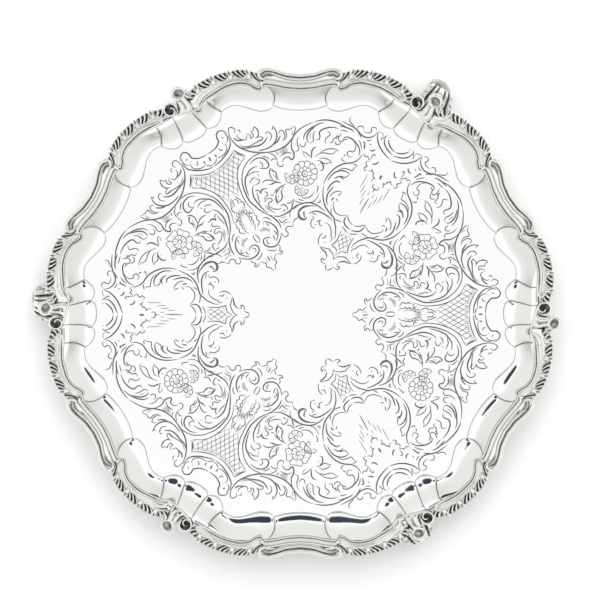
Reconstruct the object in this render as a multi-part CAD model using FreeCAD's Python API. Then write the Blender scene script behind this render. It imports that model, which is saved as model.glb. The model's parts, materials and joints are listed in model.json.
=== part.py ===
import FreeCAD, Part
import math
import os

# A round silver salver: one raised sheet with a lobed bouge, a border of cast sections
# soldered to its brim, and three cast scroll feet.
# Origin: on the table, under the middle of the plate. +Z up, millimetres and degrees.
# The pattern repeats every 60 degrees, with a scroll shell on each repeat's axis.

Vec = FreeCAD.Vector

# ---- overall sizes ----
overall_diameter = 356.0     # across the gadroon crests
overall_height = 40.0        # table to the top of the scroll shells
repeats = 6                  # border patterns round the rim
foot_count = 3

# ---- plate ----
sheet = 1.1                  # thickness of the silver sheet
bouge_rise = 7.0             # brim's top above the flat well's top
brim_margin = 2.2            # how far the castings overhang the plate's edge

# ---- border castings, heights above the brim ----
shell_height = 4.0
gadroon_height = 3.6
reed_height = 3.2
inner_bead = 1.3             # fine reed along the inner edge of every section
cove_floor = 0.8
gadroon_roll = 5.6           # radial width of the roll that carries the tongues
tongue_count = 12            # gadroon tongues on one casting
tongue_length = 6.4
tongue_radius = 1.25
tongue_slant = 24.0          # lean of a tongue away from the radial direction
tongue_inset = 0.3           # tongue's round end inside the casting's outer edge
end_scroll_radius = 2.3      # scrolls at the two ends of a reeded casting
eye_rise = 0.5               # button in the middle of an end scroll, above the reeds
inner_overhang = 0.4         # castings reach this far in over the bouge's lip
solder_gap = 0.12            # between the ends of neighbouring castings

# ---- lengths along the rim ----
shell_half_width = 11.8      # half the width of a scroll shell, at the crest circle
reed_half_length = 30.2      # half the length of a reeded casting, at the crest circle

# ---- scroll shell details ----
volute_radius = 3.1          # middle line of the rolled volute
volute_wire = 0.9            # radius of its roll
volute_side = 4.4            # along the rim from the axis
volute_setback = 9.1         # inside the crest circle
volute_start = -60.0         # where its roll begins, from the radial direction
volute_sweep = 300.0
hood_radius = 4.1
hood_wire = 0.8
hood_side = -6.2
hood_setback = 1.1
hood_start = -110.0
hood_sweep = 220.0

# ---- feet ----
foot_turn = -2.1             # each foot sits under the shell's hood, off the axis
foot_reach = 8.2             # toe's furthest point beyond the crest circle
foot_top_width = 23.0
foot_top_depth = 9.0
foot_waist_width = 13.0
foot_waist_depth = 6.0
foot_toe_width = 13.5
toe_roll_radius = 3.4
pad_depth = 9.0              # radial length of the flat that rests on the table
foot_seat = 9.6              # foot's top centre inside the crest circle

# ---- outlines: (degrees from a repeat's axis, distance inside the crest circle) ----
edge_line = [(0.0, 4.6), (3.8, 5.6), (11.0, 0.0), (18.4, 2.9), (20.2, 6.0), (21.8, 2.6), (26.0, 6.3), (30.0, 8.8)]
lip_line = [(0.0, 17.6), (6.9, 16.2), (12.5, 10.7), (17.5, 13.3), (22.3, 16.8), (30.0, 18.9)]
toe_line = [(0.0, 36.9), (3.7, 33.0), (6.0, 34.5), (9.25, 26.7), (12.5, 25.4), (19.5, 34.1), (22.65, 31.2), (30.0, 36.0)]

# creases between the bouge's lobes: angle at the toe, and at the lip
creases = [(3.7, 2.35), (9.25, 6.9), (22.65, 22.3)]
# steps up the bouge: share of the way out, share of the rise
bouge_steps = [(0.0, 0.0), (0.2, 0.06), (0.5, 0.36), (0.8, 0.8), (1.0, 1.0)]

# ---- values that follow ----
crest_r = overall_diameter / 2
pitch = 360.0 / repeats
brim_top = overall_height - shell_height
brim_under = brim_top - sheet
flat_top = brim_top - bouge_rise
flat_under = flat_top - sheet
shell_angle = math.degrees(shell_half_width / crest_r)
reed_angle = pitch / 2 - math.degrees(reed_half_length / crest_r)
gap_angle = math.degrees(solder_gap / 2 / crest_r)


def polar(radius, angle, z):
    a = math.radians(angle)
    return Vec(radius * math.cos(a), radius * math.sin(a), z)


def folded(angle):
    """Angle from the nearest repeat's axis, as every repeat is its own mirror image."""
    return abs((angle + pitch / 2) % pitch - pitch / 2)


def along(line, angle):
    """Smooth value of a line of (angle, setback) stations that never overshoots them."""
    a = folded(angle) * 60.0 / pitch
    for (a0, v0), (a1, v1) in zip(line, line[1:]):
        if a <= a1 or a1 == line[-1][0]:
            t = min(max((a - a0) / (a1 - a0), 0.0), 1.0)
            return v0 + (v1 - v0) * t * t * (3 - 2 * t)


def edge_r(angle):
    return crest_r - along(edge_line, angle)


def lip_r(angle):
    return crest_r - along(lip_line, angle)


def toe_r(angle):
    return crest_r - along(toe_line, angle)


def curve(points):
    spline = Part.BSplineCurve()
    spline.interpolate(Points=points)
    return spline.toShape()


def polygon(points):
    return Part.makePolygon(points + points[:1])


def lobe_ends():
    """The creases round one repeat, as (toe angle, lip angle) pairs, axis lobe first."""
    half = creases + [(pitch - toe, pitch - lip) for toe, lip in reversed(creases)]
    return [(-creases[0][0], -creases[0][1])] + half


def bouge_ring(out_share, rise_share, lift):
    """Closed outline round the bouge, one smooth edge for each lobe."""
    edges = []
    for k in range(repeats):
        ends = lobe_ends()
        for (toe0, lip0), (toe1, lip1) in zip(ends, ends[1:]):
            points = []
            for t in (0.0, 0.25, 0.5, 0.75, 1.0):
                toe = k * pitch + toe0 + (toe1 - toe0) * t
                lip = k * pitch + lip0 + (lip1 - lip0) * t
                angle = toe + (lip - toe) * out_share
                radius = toe_r(toe) + (lip_r(lip) - toe_r(toe)) * out_share
                z = flat_under + bouge_rise * rise_share + lift
                points.append(polar(radius, angle, z))
            edges.append(curve(points))
    return Part.Wire(edges)


def plate():
    """Flat well, lobed bouge and flat brim, all of one sheet."""
    rings = [bouge_ring(out, rise, 0.0) for out, rise in bouge_steps]
    body = Part.makeLoft(rings, True, True)
    edge = [polar(edge_r(a) - brim_margin, a, brim_under) for a in plate_angles()]
    outline = Part.BSplineCurve()
    outline.interpolate(Points=edge, PeriodicFlag=True)
    brim = Part.Face(Part.Wire([outline.toShape()])).extrude(Vec(0, 0, sheet))
    hollow = [bouge_ring(out, rise, sheet) for out, rise in bouge_steps]
    hollow.append(bouge_ring(1.0, 1.0, 2 * sheet))
    return body.fuse(brim).cut(Part.makeLoft(hollow, True, True)).removeSplitter()


def plate_angles():
    """Angles where the plate's plain edge needs a point: crests, valleys and between."""
    one = [0.0, 5.0, 11.0, 16.5, 23.5, 30.0, 36.5, 43.5, 49.0, 55.0]
    return [k * pitch + a * pitch / 60.0 for k in range(repeats) for a in one]


def section(radii_heights, angle):
    """A moulding's cross-section standing on the brim in the radial plane at an angle."""
    return polygon([polar(r, angle, brim_top + h) for r, h in radii_heights])


def strip(start, end, stations, profile):
    """A casting that follows the rim: its cross-section carried from one angle to another."""
    sections = []
    for k in range(stations):
        angle = start + (end - start) * k / (stations - 1)
        inner = lip_r(angle) - inner_overhang
        sections.append(section(profile(inner, edge_r(angle)), angle))
    return Part.makeLoft(sections, True, False)


def gadroon_profile(inner, outer):
    roll = outer - gadroon_roll
    top = gadroon_height - 0.6 * tongue_radius
    return [
        (inner, 0.0),
        (inner, 0.6 * inner_bead),
        (inner + 0.4, inner_bead),
        (inner + 1.2, inner_bead),
        (inner + 1.8, cove_floor),
        (roll, cove_floor + 0.5),
        (roll + 0.25 * gadroon_roll, 0.8 * top),
        (roll + 0.55 * gadroon_roll, top),
        (roll + 0.85 * gadroon_roll, 0.8 * top),
        (outer, 0.35 * top),
        (outer, 0.0),
    ]


def reed_profile(inner, outer):
    span = outer - inner
    return [
        (inner, 0.0),
        (inner, 0.6 * inner_bead),
        (inner + 0.4, inner_bead),
        (inner + 1.2, inner_bead),
        (inner + 0.18 * span, cove_floor),
        (inner + 0.30 * span, 0.55 * reed_height),
        (inner + 0.38 * span, 0.62 * reed_height),
        (inner + 0.45 * span, 0.5 * reed_height),
        (inner + 0.62 * span, 0.86 * reed_height),
        (inner + 0.76 * span, reed_height),
        (inner + 0.90 * span, 0.8 * reed_height),
        (outer, 0.35 * reed_height),
        (outer, 0.0),
    ]


def tongue(angle):
    """One gadroon tongue: a drop, round at its outer end, that leans across the roll."""
    heel = Vec(0, 0, 0)
    shoulder = Vec(tongue_length - tongue_radius, tongue_radius, 0)
    middle = Vec(tongue_length - tongue_radius, 0, 0)
    nose = Vec(tongue_length, 0, 0)
    turn = math.radians(45)
    cheek = middle + Vec(tongue_radius * math.cos(turn), tongue_radius * math.sin(turn), 0)
    tail = Vec(0, 0.3 * tongue_radius, 0)
    edges = [
        Part.LineSegment(heel, tail).toShape(),
        Part.LineSegment(tail, shoulder).toShape(),
        Part.Arc(shoulder, cheek, nose).toShape(),
        Part.LineSegment(nose, heel).toShape(),
    ]
    drop = Part.Face(Part.Wire(edges)).revolve(heel, Vec(1, 0, 0), 360)
    drop.rotate(heel, Vec(0, 0, 1), tongue_slant)
    height = brim_top + gadroon_height - tongue_radius
    reach = tongue_length * math.cos(math.radians(tongue_slant))
    drop.translate(Vec(edge_r(angle) - tongue_inset - reach, 0, height))
    drop.rotate(heel, Vec(0, 0, 1), angle)
    return drop


def gadroon_border():
    """Casting on the counter-clockwise side of a scroll shell."""
    start = shell_angle + gap_angle
    end = reed_angle - gap_angle
    solid = strip(start, end, 9, gadroon_profile)
    inset = math.degrees(1.9 * tongue_radius / crest_r)
    lean = math.degrees(tongue_length * math.sin(math.radians(tongue_slant)) / crest_r)
    first, last = start + inset, end - inset - lean
    tongues = [tongue(first + (last - first) * k / (tongue_count - 1)) for k in range(tongue_count)]
    return solid.fuse(tongues)


def reeded_border():
    """Plain serpentine casting between two gadroon castings, with a scroll at each end."""
    start = reed_angle + gap_angle
    end = pitch - start
    solid = strip(start, end, 11, reed_profile)
    inset = math.degrees((end_scroll_radius + solder_gap) / crest_r)
    scrolls = []
    for angle in (start + inset, end - inset):
        middle = polar(edge_r(angle) - end_scroll_radius, angle, brim_top)
        scroll = Part.makeCylinder(end_scroll_radius, reed_height, middle)
        eye_radius = 0.5 * end_scroll_radius
        eye = Part.makeSphere(eye_radius, middle + Vec(0, 0, reed_height + eye_rise - eye_radius))
        scrolls.append(scroll.fuse(eye))
    return solid.fuse(scrolls)


def roll(middle, radius, wire, start, sweep, z):
    """Part of a ring of round wire that lies flat round a middle point."""
    circle = Part.Circle(middle + Vec(radius, 0, z), Vec(0, 1, 0), wire)
    disc = Part.Face(Part.Wire([circle.toShape()]))
    disc.rotate(middle, Vec(0, 0, 1), start)
    return disc.revolve(middle, Vec(0, 0, 1), sweep)


def scroll_shell():
    """Asymmetric casting on a repeat's axis: C-scroll, body and hooded shell."""
    side = shell_angle - gap_angle
    inner = [polar(lip_r(a) - inner_overhang, a, brim_top) for a in (-side, 0.0, side)]
    shoulder = edge_line[1][1]
    right = polar(crest_r - shoulder - 1.0, side, brim_top)
    left = polar(crest_r - shoulder - 1.0, -side, brim_top)
    volute = Vec(crest_r - volute_setback, volute_side, brim_top)
    hood = Vec(crest_r - hood_setback, hood_side, brim_top)
    brow = volute_radius + volute_wire
    reach = hood_radius + hood_wire
    over_volute = [right, volute + Vec(brow, 0.3 * brow, 0), volute + Vec(brow, -brow, 0)]
    over_hood = [over_volute[2], hood + Vec(reach, 0, 0), hood + Vec(-0.5 * reach, -0.8 * reach, 0)]
    edges = [
        Part.Arc(inner[0], inner[1], inner[2]).toShape(),
        Part.LineSegment(inner[2], right).toShape(),
        Part.Arc(over_volute[0], over_volute[1], over_volute[2]).toShape(),
        Part.Arc(over_hood[0], over_hood[1], over_hood[2]).toShape(),
        Part.LineSegment(over_hood[2], left).toShape(),
        Part.LineSegment(left, inner[0]).toShape(),
    ]
    body_height = shell_height - hood_wire
    body = Part.Face(Part.Wire(edges)).extrude(Vec(0, 0, 0.6 * body_height))
    scroll = roll(volute, volute_radius, volute_wire, volute_start, volute_sweep, 0.6 * body_height)
    eye = Part.makeSphere(0.45 * volute_radius, volute + Vec(0, 0, 0.6 * body_height))
    lip = roll(hood, hood_radius, hood_wire, hood_start, hood_sweep, shell_height - hood_wire)
    cup = Part.makeCylinder(hood_radius, shell_height - hood_wire, hood)
    return body.fuse([scroll, eye, cup, lip])


def oval(x, z, width, depth):
    """Level elliptical wire across the foot, wide along the rim."""
    if width >= depth:
        shape = Part.Ellipse(Vec(x, width / 2, z), Vec(x + depth / 2, 0, z), Vec(x, 0, z))
    else:
        shape = Part.Ellipse(Vec(x + depth / 2, 0, z), Vec(x, width / 2, z), Vec(x, 0, z))
    return Part.Wire([shape.toShape()])


def foot():
    """Splayed scroll foot: leafy knee on top, narrow leg, rolled toe on a flat pad."""
    top_x = crest_r - foot_seat
    toe_x = crest_r + foot_reach - toe_roll_radius
    pad_x = toe_x - 0.3 * pad_depth
    waist_x = 0.5 * (top_x + pad_x) - 0.6
    waist_z = 0.42 * brim_under
    knee_z = 0.75 * brim_under
    knee_x = 0.7 * top_x + 0.3 * waist_x
    knee_width = 0.55 * foot_top_width + 0.45 * foot_waist_width
    leg = Part.makeLoft(
        [
            oval(pad_x, 0.0, foot_toe_width, pad_depth),
            oval(pad_x - 0.2, 0.5 * toe_roll_radius, foot_toe_width, pad_depth),
            oval(waist_x, waist_z, foot_waist_width, foot_waist_depth),
            oval(knee_x, knee_z, knee_width, 0.8 * foot_top_depth),
            oval(top_x, brim_under, foot_top_width, foot_top_depth),
        ],
        True,
        False,
    )
    half = 0.38 * foot_toe_width
    toe = Part.makeCylinder(toe_roll_radius, 2 * half, Vec(toe_x, -half, toe_roll_radius), Vec(0, 1, 0))
    solid = leg.fuse(toe)
    solid.rotate(Vec(0, 0, 0), Vec(0, 0, 1), foot_turn)
    return solid


def turned(shape, angle):
    copy = shape.copy()
    copy.rotate(Vec(0, 0, 0), Vec(0, 0, 1), angle)
    return copy


def save(shape, name):
    shape.exportStep("parts/" + name + ".step")
    print(name, shape.isValid(), len(shape.Solids), round(shape.Volume / 1000, 2), "cm3")


def main():
    os.makedirs("parts", exist_ok=True)
    save(plate(), "plate")
    left_gadroon = gadroon_border()
    right_gadroon = left_gadroon.mirror(Vec(0, 0, 0), Vec(0, 1, 0))
    reeds = reeded_border()
    shell = scroll_shell()
    leg = foot()
    for k in range(repeats):
        angle = k * pitch
        save(turned(left_gadroon, angle), "gadroon_border_%02d" % (2 * k + 1))
        save(turned(right_gadroon, angle), "gadroon_border_%02d" % (2 * k + 2))
        save(turned(reeds, angle), "reeded_border_%d" % (k + 1))
        save(turned(shell, angle), "scroll_shell_%d" % (k + 1))
    for k in range(foot_count):
        save(turned(leg, pitch + k * 360.0 / foot_count), "foot_%d" % (k + 1))


main()
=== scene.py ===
import json
import math

import bpy
import numpy as np
from bpy.props import FloatProperty, FloatVectorProperty, IntProperty, PointerProperty
from mathutils import Matrix, Vector
from mathutils.geometry import delaunay_2d_cdt
from mathutils.kdtree import KDTree


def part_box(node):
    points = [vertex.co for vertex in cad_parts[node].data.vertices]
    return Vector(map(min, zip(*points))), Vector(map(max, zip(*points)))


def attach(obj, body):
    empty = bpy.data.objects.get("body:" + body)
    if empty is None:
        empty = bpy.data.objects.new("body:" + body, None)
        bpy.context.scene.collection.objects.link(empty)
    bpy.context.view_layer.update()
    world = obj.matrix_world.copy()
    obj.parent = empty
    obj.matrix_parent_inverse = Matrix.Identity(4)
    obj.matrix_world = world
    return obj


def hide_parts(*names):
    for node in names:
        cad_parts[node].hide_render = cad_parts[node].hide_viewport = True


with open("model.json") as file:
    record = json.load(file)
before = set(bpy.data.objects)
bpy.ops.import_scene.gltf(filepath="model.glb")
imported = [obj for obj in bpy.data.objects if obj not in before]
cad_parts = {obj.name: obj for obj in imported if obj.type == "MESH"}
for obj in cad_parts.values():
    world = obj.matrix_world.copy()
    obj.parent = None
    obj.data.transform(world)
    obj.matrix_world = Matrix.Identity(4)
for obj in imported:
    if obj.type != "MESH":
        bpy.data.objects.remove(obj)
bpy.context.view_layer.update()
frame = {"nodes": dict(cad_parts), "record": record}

bl_info = {
    "name": "Silver salver",
    "version": (1, 0, 0),
    "blender": (4, 5, 0),
    "location": "View3D > Sidebar > Salver",
    "description": "Engraved silver salver with a cast border and scroll feet",
    "category": "Object",
}

MM = 0.001           # metres in a millimetre
BODY = "root"
REPEATS = 6          # border patterns round the rim
PITCH = 360.0 / REPEATS
# Bearings of the feet, each under the hood of every second shell
FOOT_TURNS = (57.9, 177.9, 297.9)


# ---- sizes taken from the frame, in millimetres ----

def node_tops(prefix):
    """Highest corner of all nodes whose names start alike."""
    boxes = [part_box(name) for name in frame["nodes"] if name.startswith(prefix)]
    return max(hi.z for lo, hi in boxes) / MM


def node_radius(prefix):
    """Furthest reach from the Z axis of all nodes whose names start alike."""
    reach = 0.0
    for name, node in frame["nodes"].items():
        if name.startswith(prefix):
            reach = max(reach, max(math.hypot(v.co.x, v.co.y) for v in node.data.vertices))
    return reach / MM


def mount_height(name):
    mounts = {m["name"]: m for m in frame["record"]["mounts"]}
    return mounts[name]["pos_m"][2] / MM


BRIM_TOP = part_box("plate")[1].z / MM
PLATE_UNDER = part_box("plate")[0].z / MM
FLAT_TOP = mount_height("well_face")
SHEET = FLAT_TOP - PLATE_UNDER
CREST = node_radius("gadroon_border")
GADROON_TOP = node_tops("gadroon_border") - BRIM_TOP
REED_TOP = node_tops("reeded_border") - BRIM_TOP

# Outlines as (degrees from a shell's axis, distance inside the crest circle in mm).
# The bouge's lip, and the lobes of its toe between one crease and the next:
LIP_LINE = [(0, 17.6), (6.9, 16.2), (12.5, 10.7), (17.5, 13.3), (22.3, 16.8), (26, 19.2), (30, 20.6)]
TOE_LOBES = [
    [(0, 36.9), (1.6, 36.5), (2.9, 35.3), (3.7, 33.0)],
    [(3.7, 33.0), (4.5, 34.4), (6.0, 34.8), (8.1, 31.6), (9.25, 26.7)],
    [
        (9.25, 26.7), (10.4, 25.7), (12, 25.3), (13.8, 26.6), (15.6, 29.2),
        (17.6, 32.3), (19.4, 34.1), (20.9, 34.2), (22, 33.1), (22.65, 31.2),
    ],
    [(22.65, 31.2), (24, 33.0), (26, 34.6), (28, 35.5), (30, 35.8)],
]
# The border's outer edge:
EDGE_LINE = [
    (0, 5.6), (3.4, 4.6), (6.5, 1.2), (11, 0), (15.5, 0.7), (18, 2.5), (19.6, 5.2),
    (20.4, 6.2), (21.1, 4.2), (22.2, 2.8), (24, 4.2), (27, 7.6), (30, 8.8),
]
# Its inner edge isn't the same on both sides of a shell, so its degrees run
# counter-clockwise from the shell's axis:
INNER_LINE = [
    (-30, 21.4), (-27, 20.5), (-23, 17.4), (-21.4, 16.4), (-20.7, 17.6), (-20.0, 18.9),
    (-18.9, 17.4), (-17.6, 14.2), (-15, 11.8), (-13.2, 11.6), (-9.7, 13.3), (-6.6, 15.6),
    (-5.2, 18.4), (-4.3, 20.8), (-3.5, 20.2), (-2.6, 18.4), (0, 16.6), (2.8, 14.3),
    (5.6, 13.9), (8.7, 12.1), (11.5, 11.2), (15, 11.6), (17.6, 14.2), (18.9, 17.4),
    (20.0, 18.9), (20.7, 17.6), (21.4, 16.4), (23, 17.4), (27, 20.5), (30, 21.4),
]
# Creases between the lobes of the bouge: degrees at the toe, half way and at the lip
CREASES = [(3.7, 2.9, 2.35), (9.25, 7.7, 6.9), (22.65, 23.4, 22.2)]


# ---- small mathematics ----

def smooth(x, lo=0.0, hi=1.0):
    t = np.clip((np.asarray(x, float) - lo) / (hi - lo), 0.0, 1.0)
    return t * t * (3 - 2 * t)


def bump_at(x, middle, width):
    """Rounded ridge of unit height about a middle."""
    return np.exp(-(((np.asarray(x, float) - middle) / width) ** 2))


def slopes(xs, ys):
    """Slopes for a monotone cubic through the stations."""
    step = np.diff(xs)
    rise = np.diff(ys) / step
    out = np.zeros_like(ys)
    out[0], out[-1] = rise[0], rise[-1]
    for k in range(1, len(xs) - 1):
        if rise[k - 1] * rise[k] > 0:
            w0, w1 = 2 * step[k] + step[k - 1], step[k] + 2 * step[k - 1]
            out[k] = (w0 + w1) / (w0 / rise[k - 1] + w1 / rise[k])
    return out


def through(stations, x):
    """Smooth curve through (x, y) stations, which never overshoots them."""
    xs, ys = np.array(stations, float).T
    m = slopes(xs, ys)
    x = np.clip(np.asarray(x, float), xs[0], xs[-1])
    k = np.clip(np.searchsorted(xs, x, side="right") - 1, 0, len(xs) - 2)
    h = xs[k + 1] - xs[k]
    t = (x - xs[k]) / h
    a = (1 + 2 * t) * (1 - t) ** 2
    b = t * (1 - t) ** 2
    c = t * t * (3 - 2 * t)
    d = t * t * (t - 1)
    return a * ys[k] + b * h * m[k] + c * ys[k + 1] + d * h * m[k + 1]


def folded(degrees):
    """Degrees from the nearest shell's axis."""
    return np.abs((np.asarray(degrees, float) + PITCH / 2) % PITCH - PITCH / 2)


def lip_r(degrees):
    return CREST - through(LIP_LINE, folded(degrees))


def inner_r(degrees):
    signed = (np.asarray(degrees, float) + PITCH / 2) % PITCH - PITCH / 2
    return CREST - through(INNER_LINE, signed)


def toe_r(degrees):
    where = folded(degrees)
    out = np.zeros_like(where)
    for lobe in TOE_LOBES:
        within = (where >= lobe[0][0]) & (where <= lobe[-1][0])
        out = np.where(within, through(lobe, where), out)
    return CREST - out


def edge_r(degrees):
    return CREST - through(EDGE_LINE, folded(degrees))


def polar(r, degrees, z):
    """Points at a radius, a bearing in degrees and a height."""
    a = np.radians(degrees)
    return np.stack([r * np.cos(a), r * np.sin(a), np.broadcast_to(z, np.shape(a * r))], -1)


# ---- meshes ----

def new_mesh(name, points_mm, faces, recess_shade, slots=None):
    """Object with a mesh in metres and an amount of painted shade on each point; flat faces if they have
    slots.
    """
    mesh = bpy.data.meshes.new(name)
    mesh.from_pydata((np.asarray(points_mm) * MM).tolist(), [], faces)
    layer = mesh.attributes.new("recess_shade", "FLOAT", "POINT")
    layer.data.foreach_set("value", np.asarray(recess_shade, np.float32))
    mesh.polygons.foreach_set("use_smooth", [slots is None] * len(mesh.polygons))
    if slots is not None:
        mesh.polygons.foreach_set("material_index", slots)
    mesh.update()
    piece = bpy.data.objects.new(name, mesh)
    bpy.context.scene.collection.objects.link(piece)
    return piece


def grid_faces(rows, cols, start=0, closed=False):
    """Quads of a grid of points stored row by row; closed joins the last column to the first."""
    a, b = np.meshgrid(np.arange(rows - 1), np.arange(cols if closed else cols - 1), indexing="ij")
    c, d = a + 1, (b + 1) % cols
    quads = np.stack([a * cols + b, c * cols + b, c * cols + d, a * cols + d], -1)
    return (quads.reshape(-1, 4) + start).tolist()


def join_grids(name, grids):
    """One mesh from several closed strips of rings, each with both its ends filled."""
    points, faces, recess_shade, start = [], [], [], 0
    for loops, dark in grids:
        rows, cols = loops.shape[:2]
        faces += grid_faces(rows, cols, start, closed=True)
        faces.append([start + k for k in range(cols - 1, -1, -1)])
        faces.append([start + (rows - 1) * cols + k for k in range(cols)])
        points.append(loops.reshape(-1, 3))
        recess_shade.append(dark.reshape(-1))
        start += rows * cols
    return new_mesh(name, np.concatenate(points), faces, np.concatenate(recess_shade))


def stand_for(piece, node):
    """The piece moves with the salver and takes the place of a CAD node."""
    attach(piece, BODY)
    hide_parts(node)


# ---- materials ----

def new_group(name, inputs, outputs):
    """Empty node group with its sockets, and the nodes at both its ends."""
    group = bpy.data.node_groups.new(name, "ShaderNodeTree")
    for label, kind, default in inputs:
        made = group.interface.new_socket(name=label, in_out="INPUT", socket_type="NodeSocket" + kind)
        made.default_value = default
    for label, kind in outputs:
        group.interface.new_socket(name=label, in_out="OUTPUT", socket_type="NodeSocket" + kind)
    return group, group.nodes.new("NodeGroupInput"), group.nodes.new("NodeGroupOutput")


def add_node(tree, kind, values=(), **settings):
    """Shader node with its settings, and with values on its unlinked inputs."""
    node = tree.nodes.new("ShaderNode" + kind)
    for name, value in settings.items():
        setattr(node, name, value)
    for name, value in dict(values).items():
        node.inputs[name].default_value = value
    return node


def object_noise(tree, scale, detail, distortion=0.0):
    """Noise fixed to the object; a scale of None is left for a link."""
    values = {"Detail": detail, "Distortion": distortion}
    if scale is not None:
        values["Scale"] = scale
    noise = add_node(tree, "TexNoise", values)
    place = add_node(tree, "TexCoord")
    tree.links.new(place.outputs["Object"], noise.inputs["Vector"])
    return noise


def hand_polish_group():
    """Fine swirling polish marks: small changes of roughness and a very shallow height."""
    if "Hand polish" in bpy.data.node_groups:
        return bpy.data.node_groups["Hand polish"]
    inputs = [("Scale", "Float", 60.0), ("Smoothest", "Float", 0.05), ("Roughest", "Float", 0.14)]
    group, given, out = new_group("Hand polish", inputs, [("Roughness", "Float"), ("Height", "Float")])
    link = group.links.new
    wisps = object_noise(group, None, 6.0, 1.6)
    link(given.outputs["Scale"], wisps.inputs["Scale"])
    scratches = object_noise(group, 900.0, 3.0)
    spread = add_node(group, "MapRange", {"From Min": 0.35, "From Max": 0.7})
    link(wisps.outputs["Fac"], spread.inputs["Value"])
    link(given.outputs["Smoothest"], spread.inputs["To Min"])
    link(given.outputs["Roughest"], spread.inputs["To Max"])
    link(spread.outputs["Result"], out.inputs["Roughness"])
    link(scratches.outputs["Fac"], out.inputs["Height"])
    return group


def recess_shade_group():
    """Silver with painted shade where it is recessed, more in some patches than in others."""
    if "Recess shade" in bpy.data.node_groups:
        return bpy.data.node_groups["Recess shade"]
    inputs = [
        ("Bright", "Color", (0.95, 0.95, 0.94, 1)),
        ("Dark", "Color", (0.03, 0.03, 0.032, 1)),
        ("Recess", "Float", 0.0),
    ]
    group, given, out = new_group("Recess shade", inputs, [("Color", "Color"), ("Mask", "Float")])
    link = group.links.new
    patches = object_noise(group, 420.0, 4.0)
    spread = {"From Min": 0.3, "From Max": 0.7, "To Min": 0.8, "To Max": 1.1}
    vary = add_node(group, "MapRange", spread)
    link(patches.outputs["Fac"], vary.inputs["Value"])
    # Strength of the painted shade, from the recess attribute
    depth = add_node(group, "Math", operation="MULTIPLY", use_clamp=True)
    link(given.outputs["Recess"], depth.inputs[0])
    link(vary.outputs["Result"], depth.inputs[1])
    mix = add_node(group, "Mix", data_type="RGBA")
    link(depth.outputs["Value"], mix.inputs["Factor"])
    link(given.outputs["Bright"], mix.inputs[6])
    link(given.outputs["Dark"], mix.inputs[7])
    link(mix.outputs[2], out.inputs["Color"])
    link(depth.outputs["Value"], out.inputs["Mask"])
    return group


def silver(name, bright, smoothest, roughest, scale, bump):
    """Polished silver with painted shade in its recesses, read from the mesh."""
    if name in bpy.data.materials:
        return bpy.data.materials[name]
    material = bpy.data.materials.new(name)
    material.use_nodes = True
    tree = material.node_tree
    link = tree.links.new
    shader = tree.nodes["Principled BSDF"]
    shader.inputs["Metallic"].default_value = 1.0
    # The recess attribute holds how much painted shade each point gets
    recess_shade = add_node(tree, "Attribute", attribute_name="recess_shade")
    dark = bpy.context.scene.salver_look.recess_shade_colour
    colours = {"Bright": (*bright, 1), "Dark": (*dark, 1)}
    painted_shade = add_node(tree, "Group", node_tree=recess_shade_group(), values=colours)
    link(recess_shade.outputs["Fac"], painted_shade.inputs["Recess"])
    link(painted_shade.outputs["Color"], shader.inputs["Base Color"])
    marks = {"Scale": scale, "Smoothest": smoothest, "Roughest": roughest}
    polish = add_node(tree, "Group", node_tree=hand_polish_group(), values=marks)
    rough = add_node(tree, "Math", {1: 0.35}, operation="MULTIPLY_ADD", use_clamp=True)
    link(painted_shade.outputs["Mask"], rough.inputs[0])
    link(polish.outputs["Roughness"], rough.inputs[2])
    link(rough.outputs["Value"], shader.inputs["Roughness"])
    relief = add_node(tree, "Bump", {"Strength": bump, "Distance": 0.00002})
    link(polish.outputs["Height"], relief.inputs["Height"])
    link(relief.outputs["Normal"], shader.inputs["Normal"])
    return material


def sheet_silver(look):
    return silver("Sheet silver", look.sheet_colour, smoothest=0.03, roughest=0.09, scale=14.0, bump=0.15)


def cut_silver(look):
    return silver("Engraved silver", look.cut_colour, smoothest=0.25, roughest=0.45, scale=200.0, bump=0.5)


def cast_silver(look):
    return silver("Cast silver", look.cast_colour, smoothest=0.07, roughest=0.17, scale=90.0, bump=0.4)


# ---- plate ----

CREASE_ROUND = 2.4       # how far from a crease the lobes start to fall, in mm
CREASE_DEPTH = 0.4
BRIM_MARGIN = 2.2        # how far the castings overhang the plate's edge
BOUGE_WIDTH = 17.0       # from the toe to the lip
OUTLINE_STEP = 0.5       # degrees between points of the flat's outline
# Steepness of the bouge from the toe (0) to the lip (1): a small roll, a shelf, then the rise
BOUGE_STEEPNESS = [
    (0, 0.62), (0.03, 0.5), (0.06, 0.06), (0.09, 0.02), (0.14, 0.11), (0.23, 0.18),
    (0.34, 0.26), (0.5, 0.46), (0.75, 0.56), (0.92, 0.55), (1, 0.35),
]


def crease_angle(crease, out_share):
    """Where a crease lies on its way from the toe to the lip."""
    toe, middle, lip = crease
    bend = 4 * (middle - (toe + lip) / 2)
    return toe + (lip - toe) * out_share + bend * out_share * (1 - out_share)


def all_creases():
    """The creases round one repeat, from just before its axis to just before the next."""
    first = tuple(-c for c in CREASES[0])
    mirrored = [tuple(PITCH - c for c in crease) for crease in reversed(CREASES)]
    return [first] + CREASES + mirrored


def bouge_rise(v):
    """Share of the bouge's rise reached at each share of its width."""
    fine = np.linspace(0, 1, 400)
    steep = through(BOUGE_STEEPNESS, fine)
    gained = np.concatenate([[0], np.cumsum((steep[1:] + steep[:-1]) / 2)])
    return np.interp(v, fine, gained / gained[-1])


def bouge_height(v, from_crease):
    """Height above the flat, rounded down into the nearer crease, some mm away."""
    fall = 1 - np.sqrt(1 - np.clip(1 - from_crease / CREASE_ROUND, 0, 1) ** 2)
    depth = CREASE_DEPTH * np.clip(np.sin(np.pi * v**0.75), 0, 1) ** 0.7
    return (BRIM_TOP - FLAT_TOP) * bouge_rise(v) - depth * fall


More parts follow.
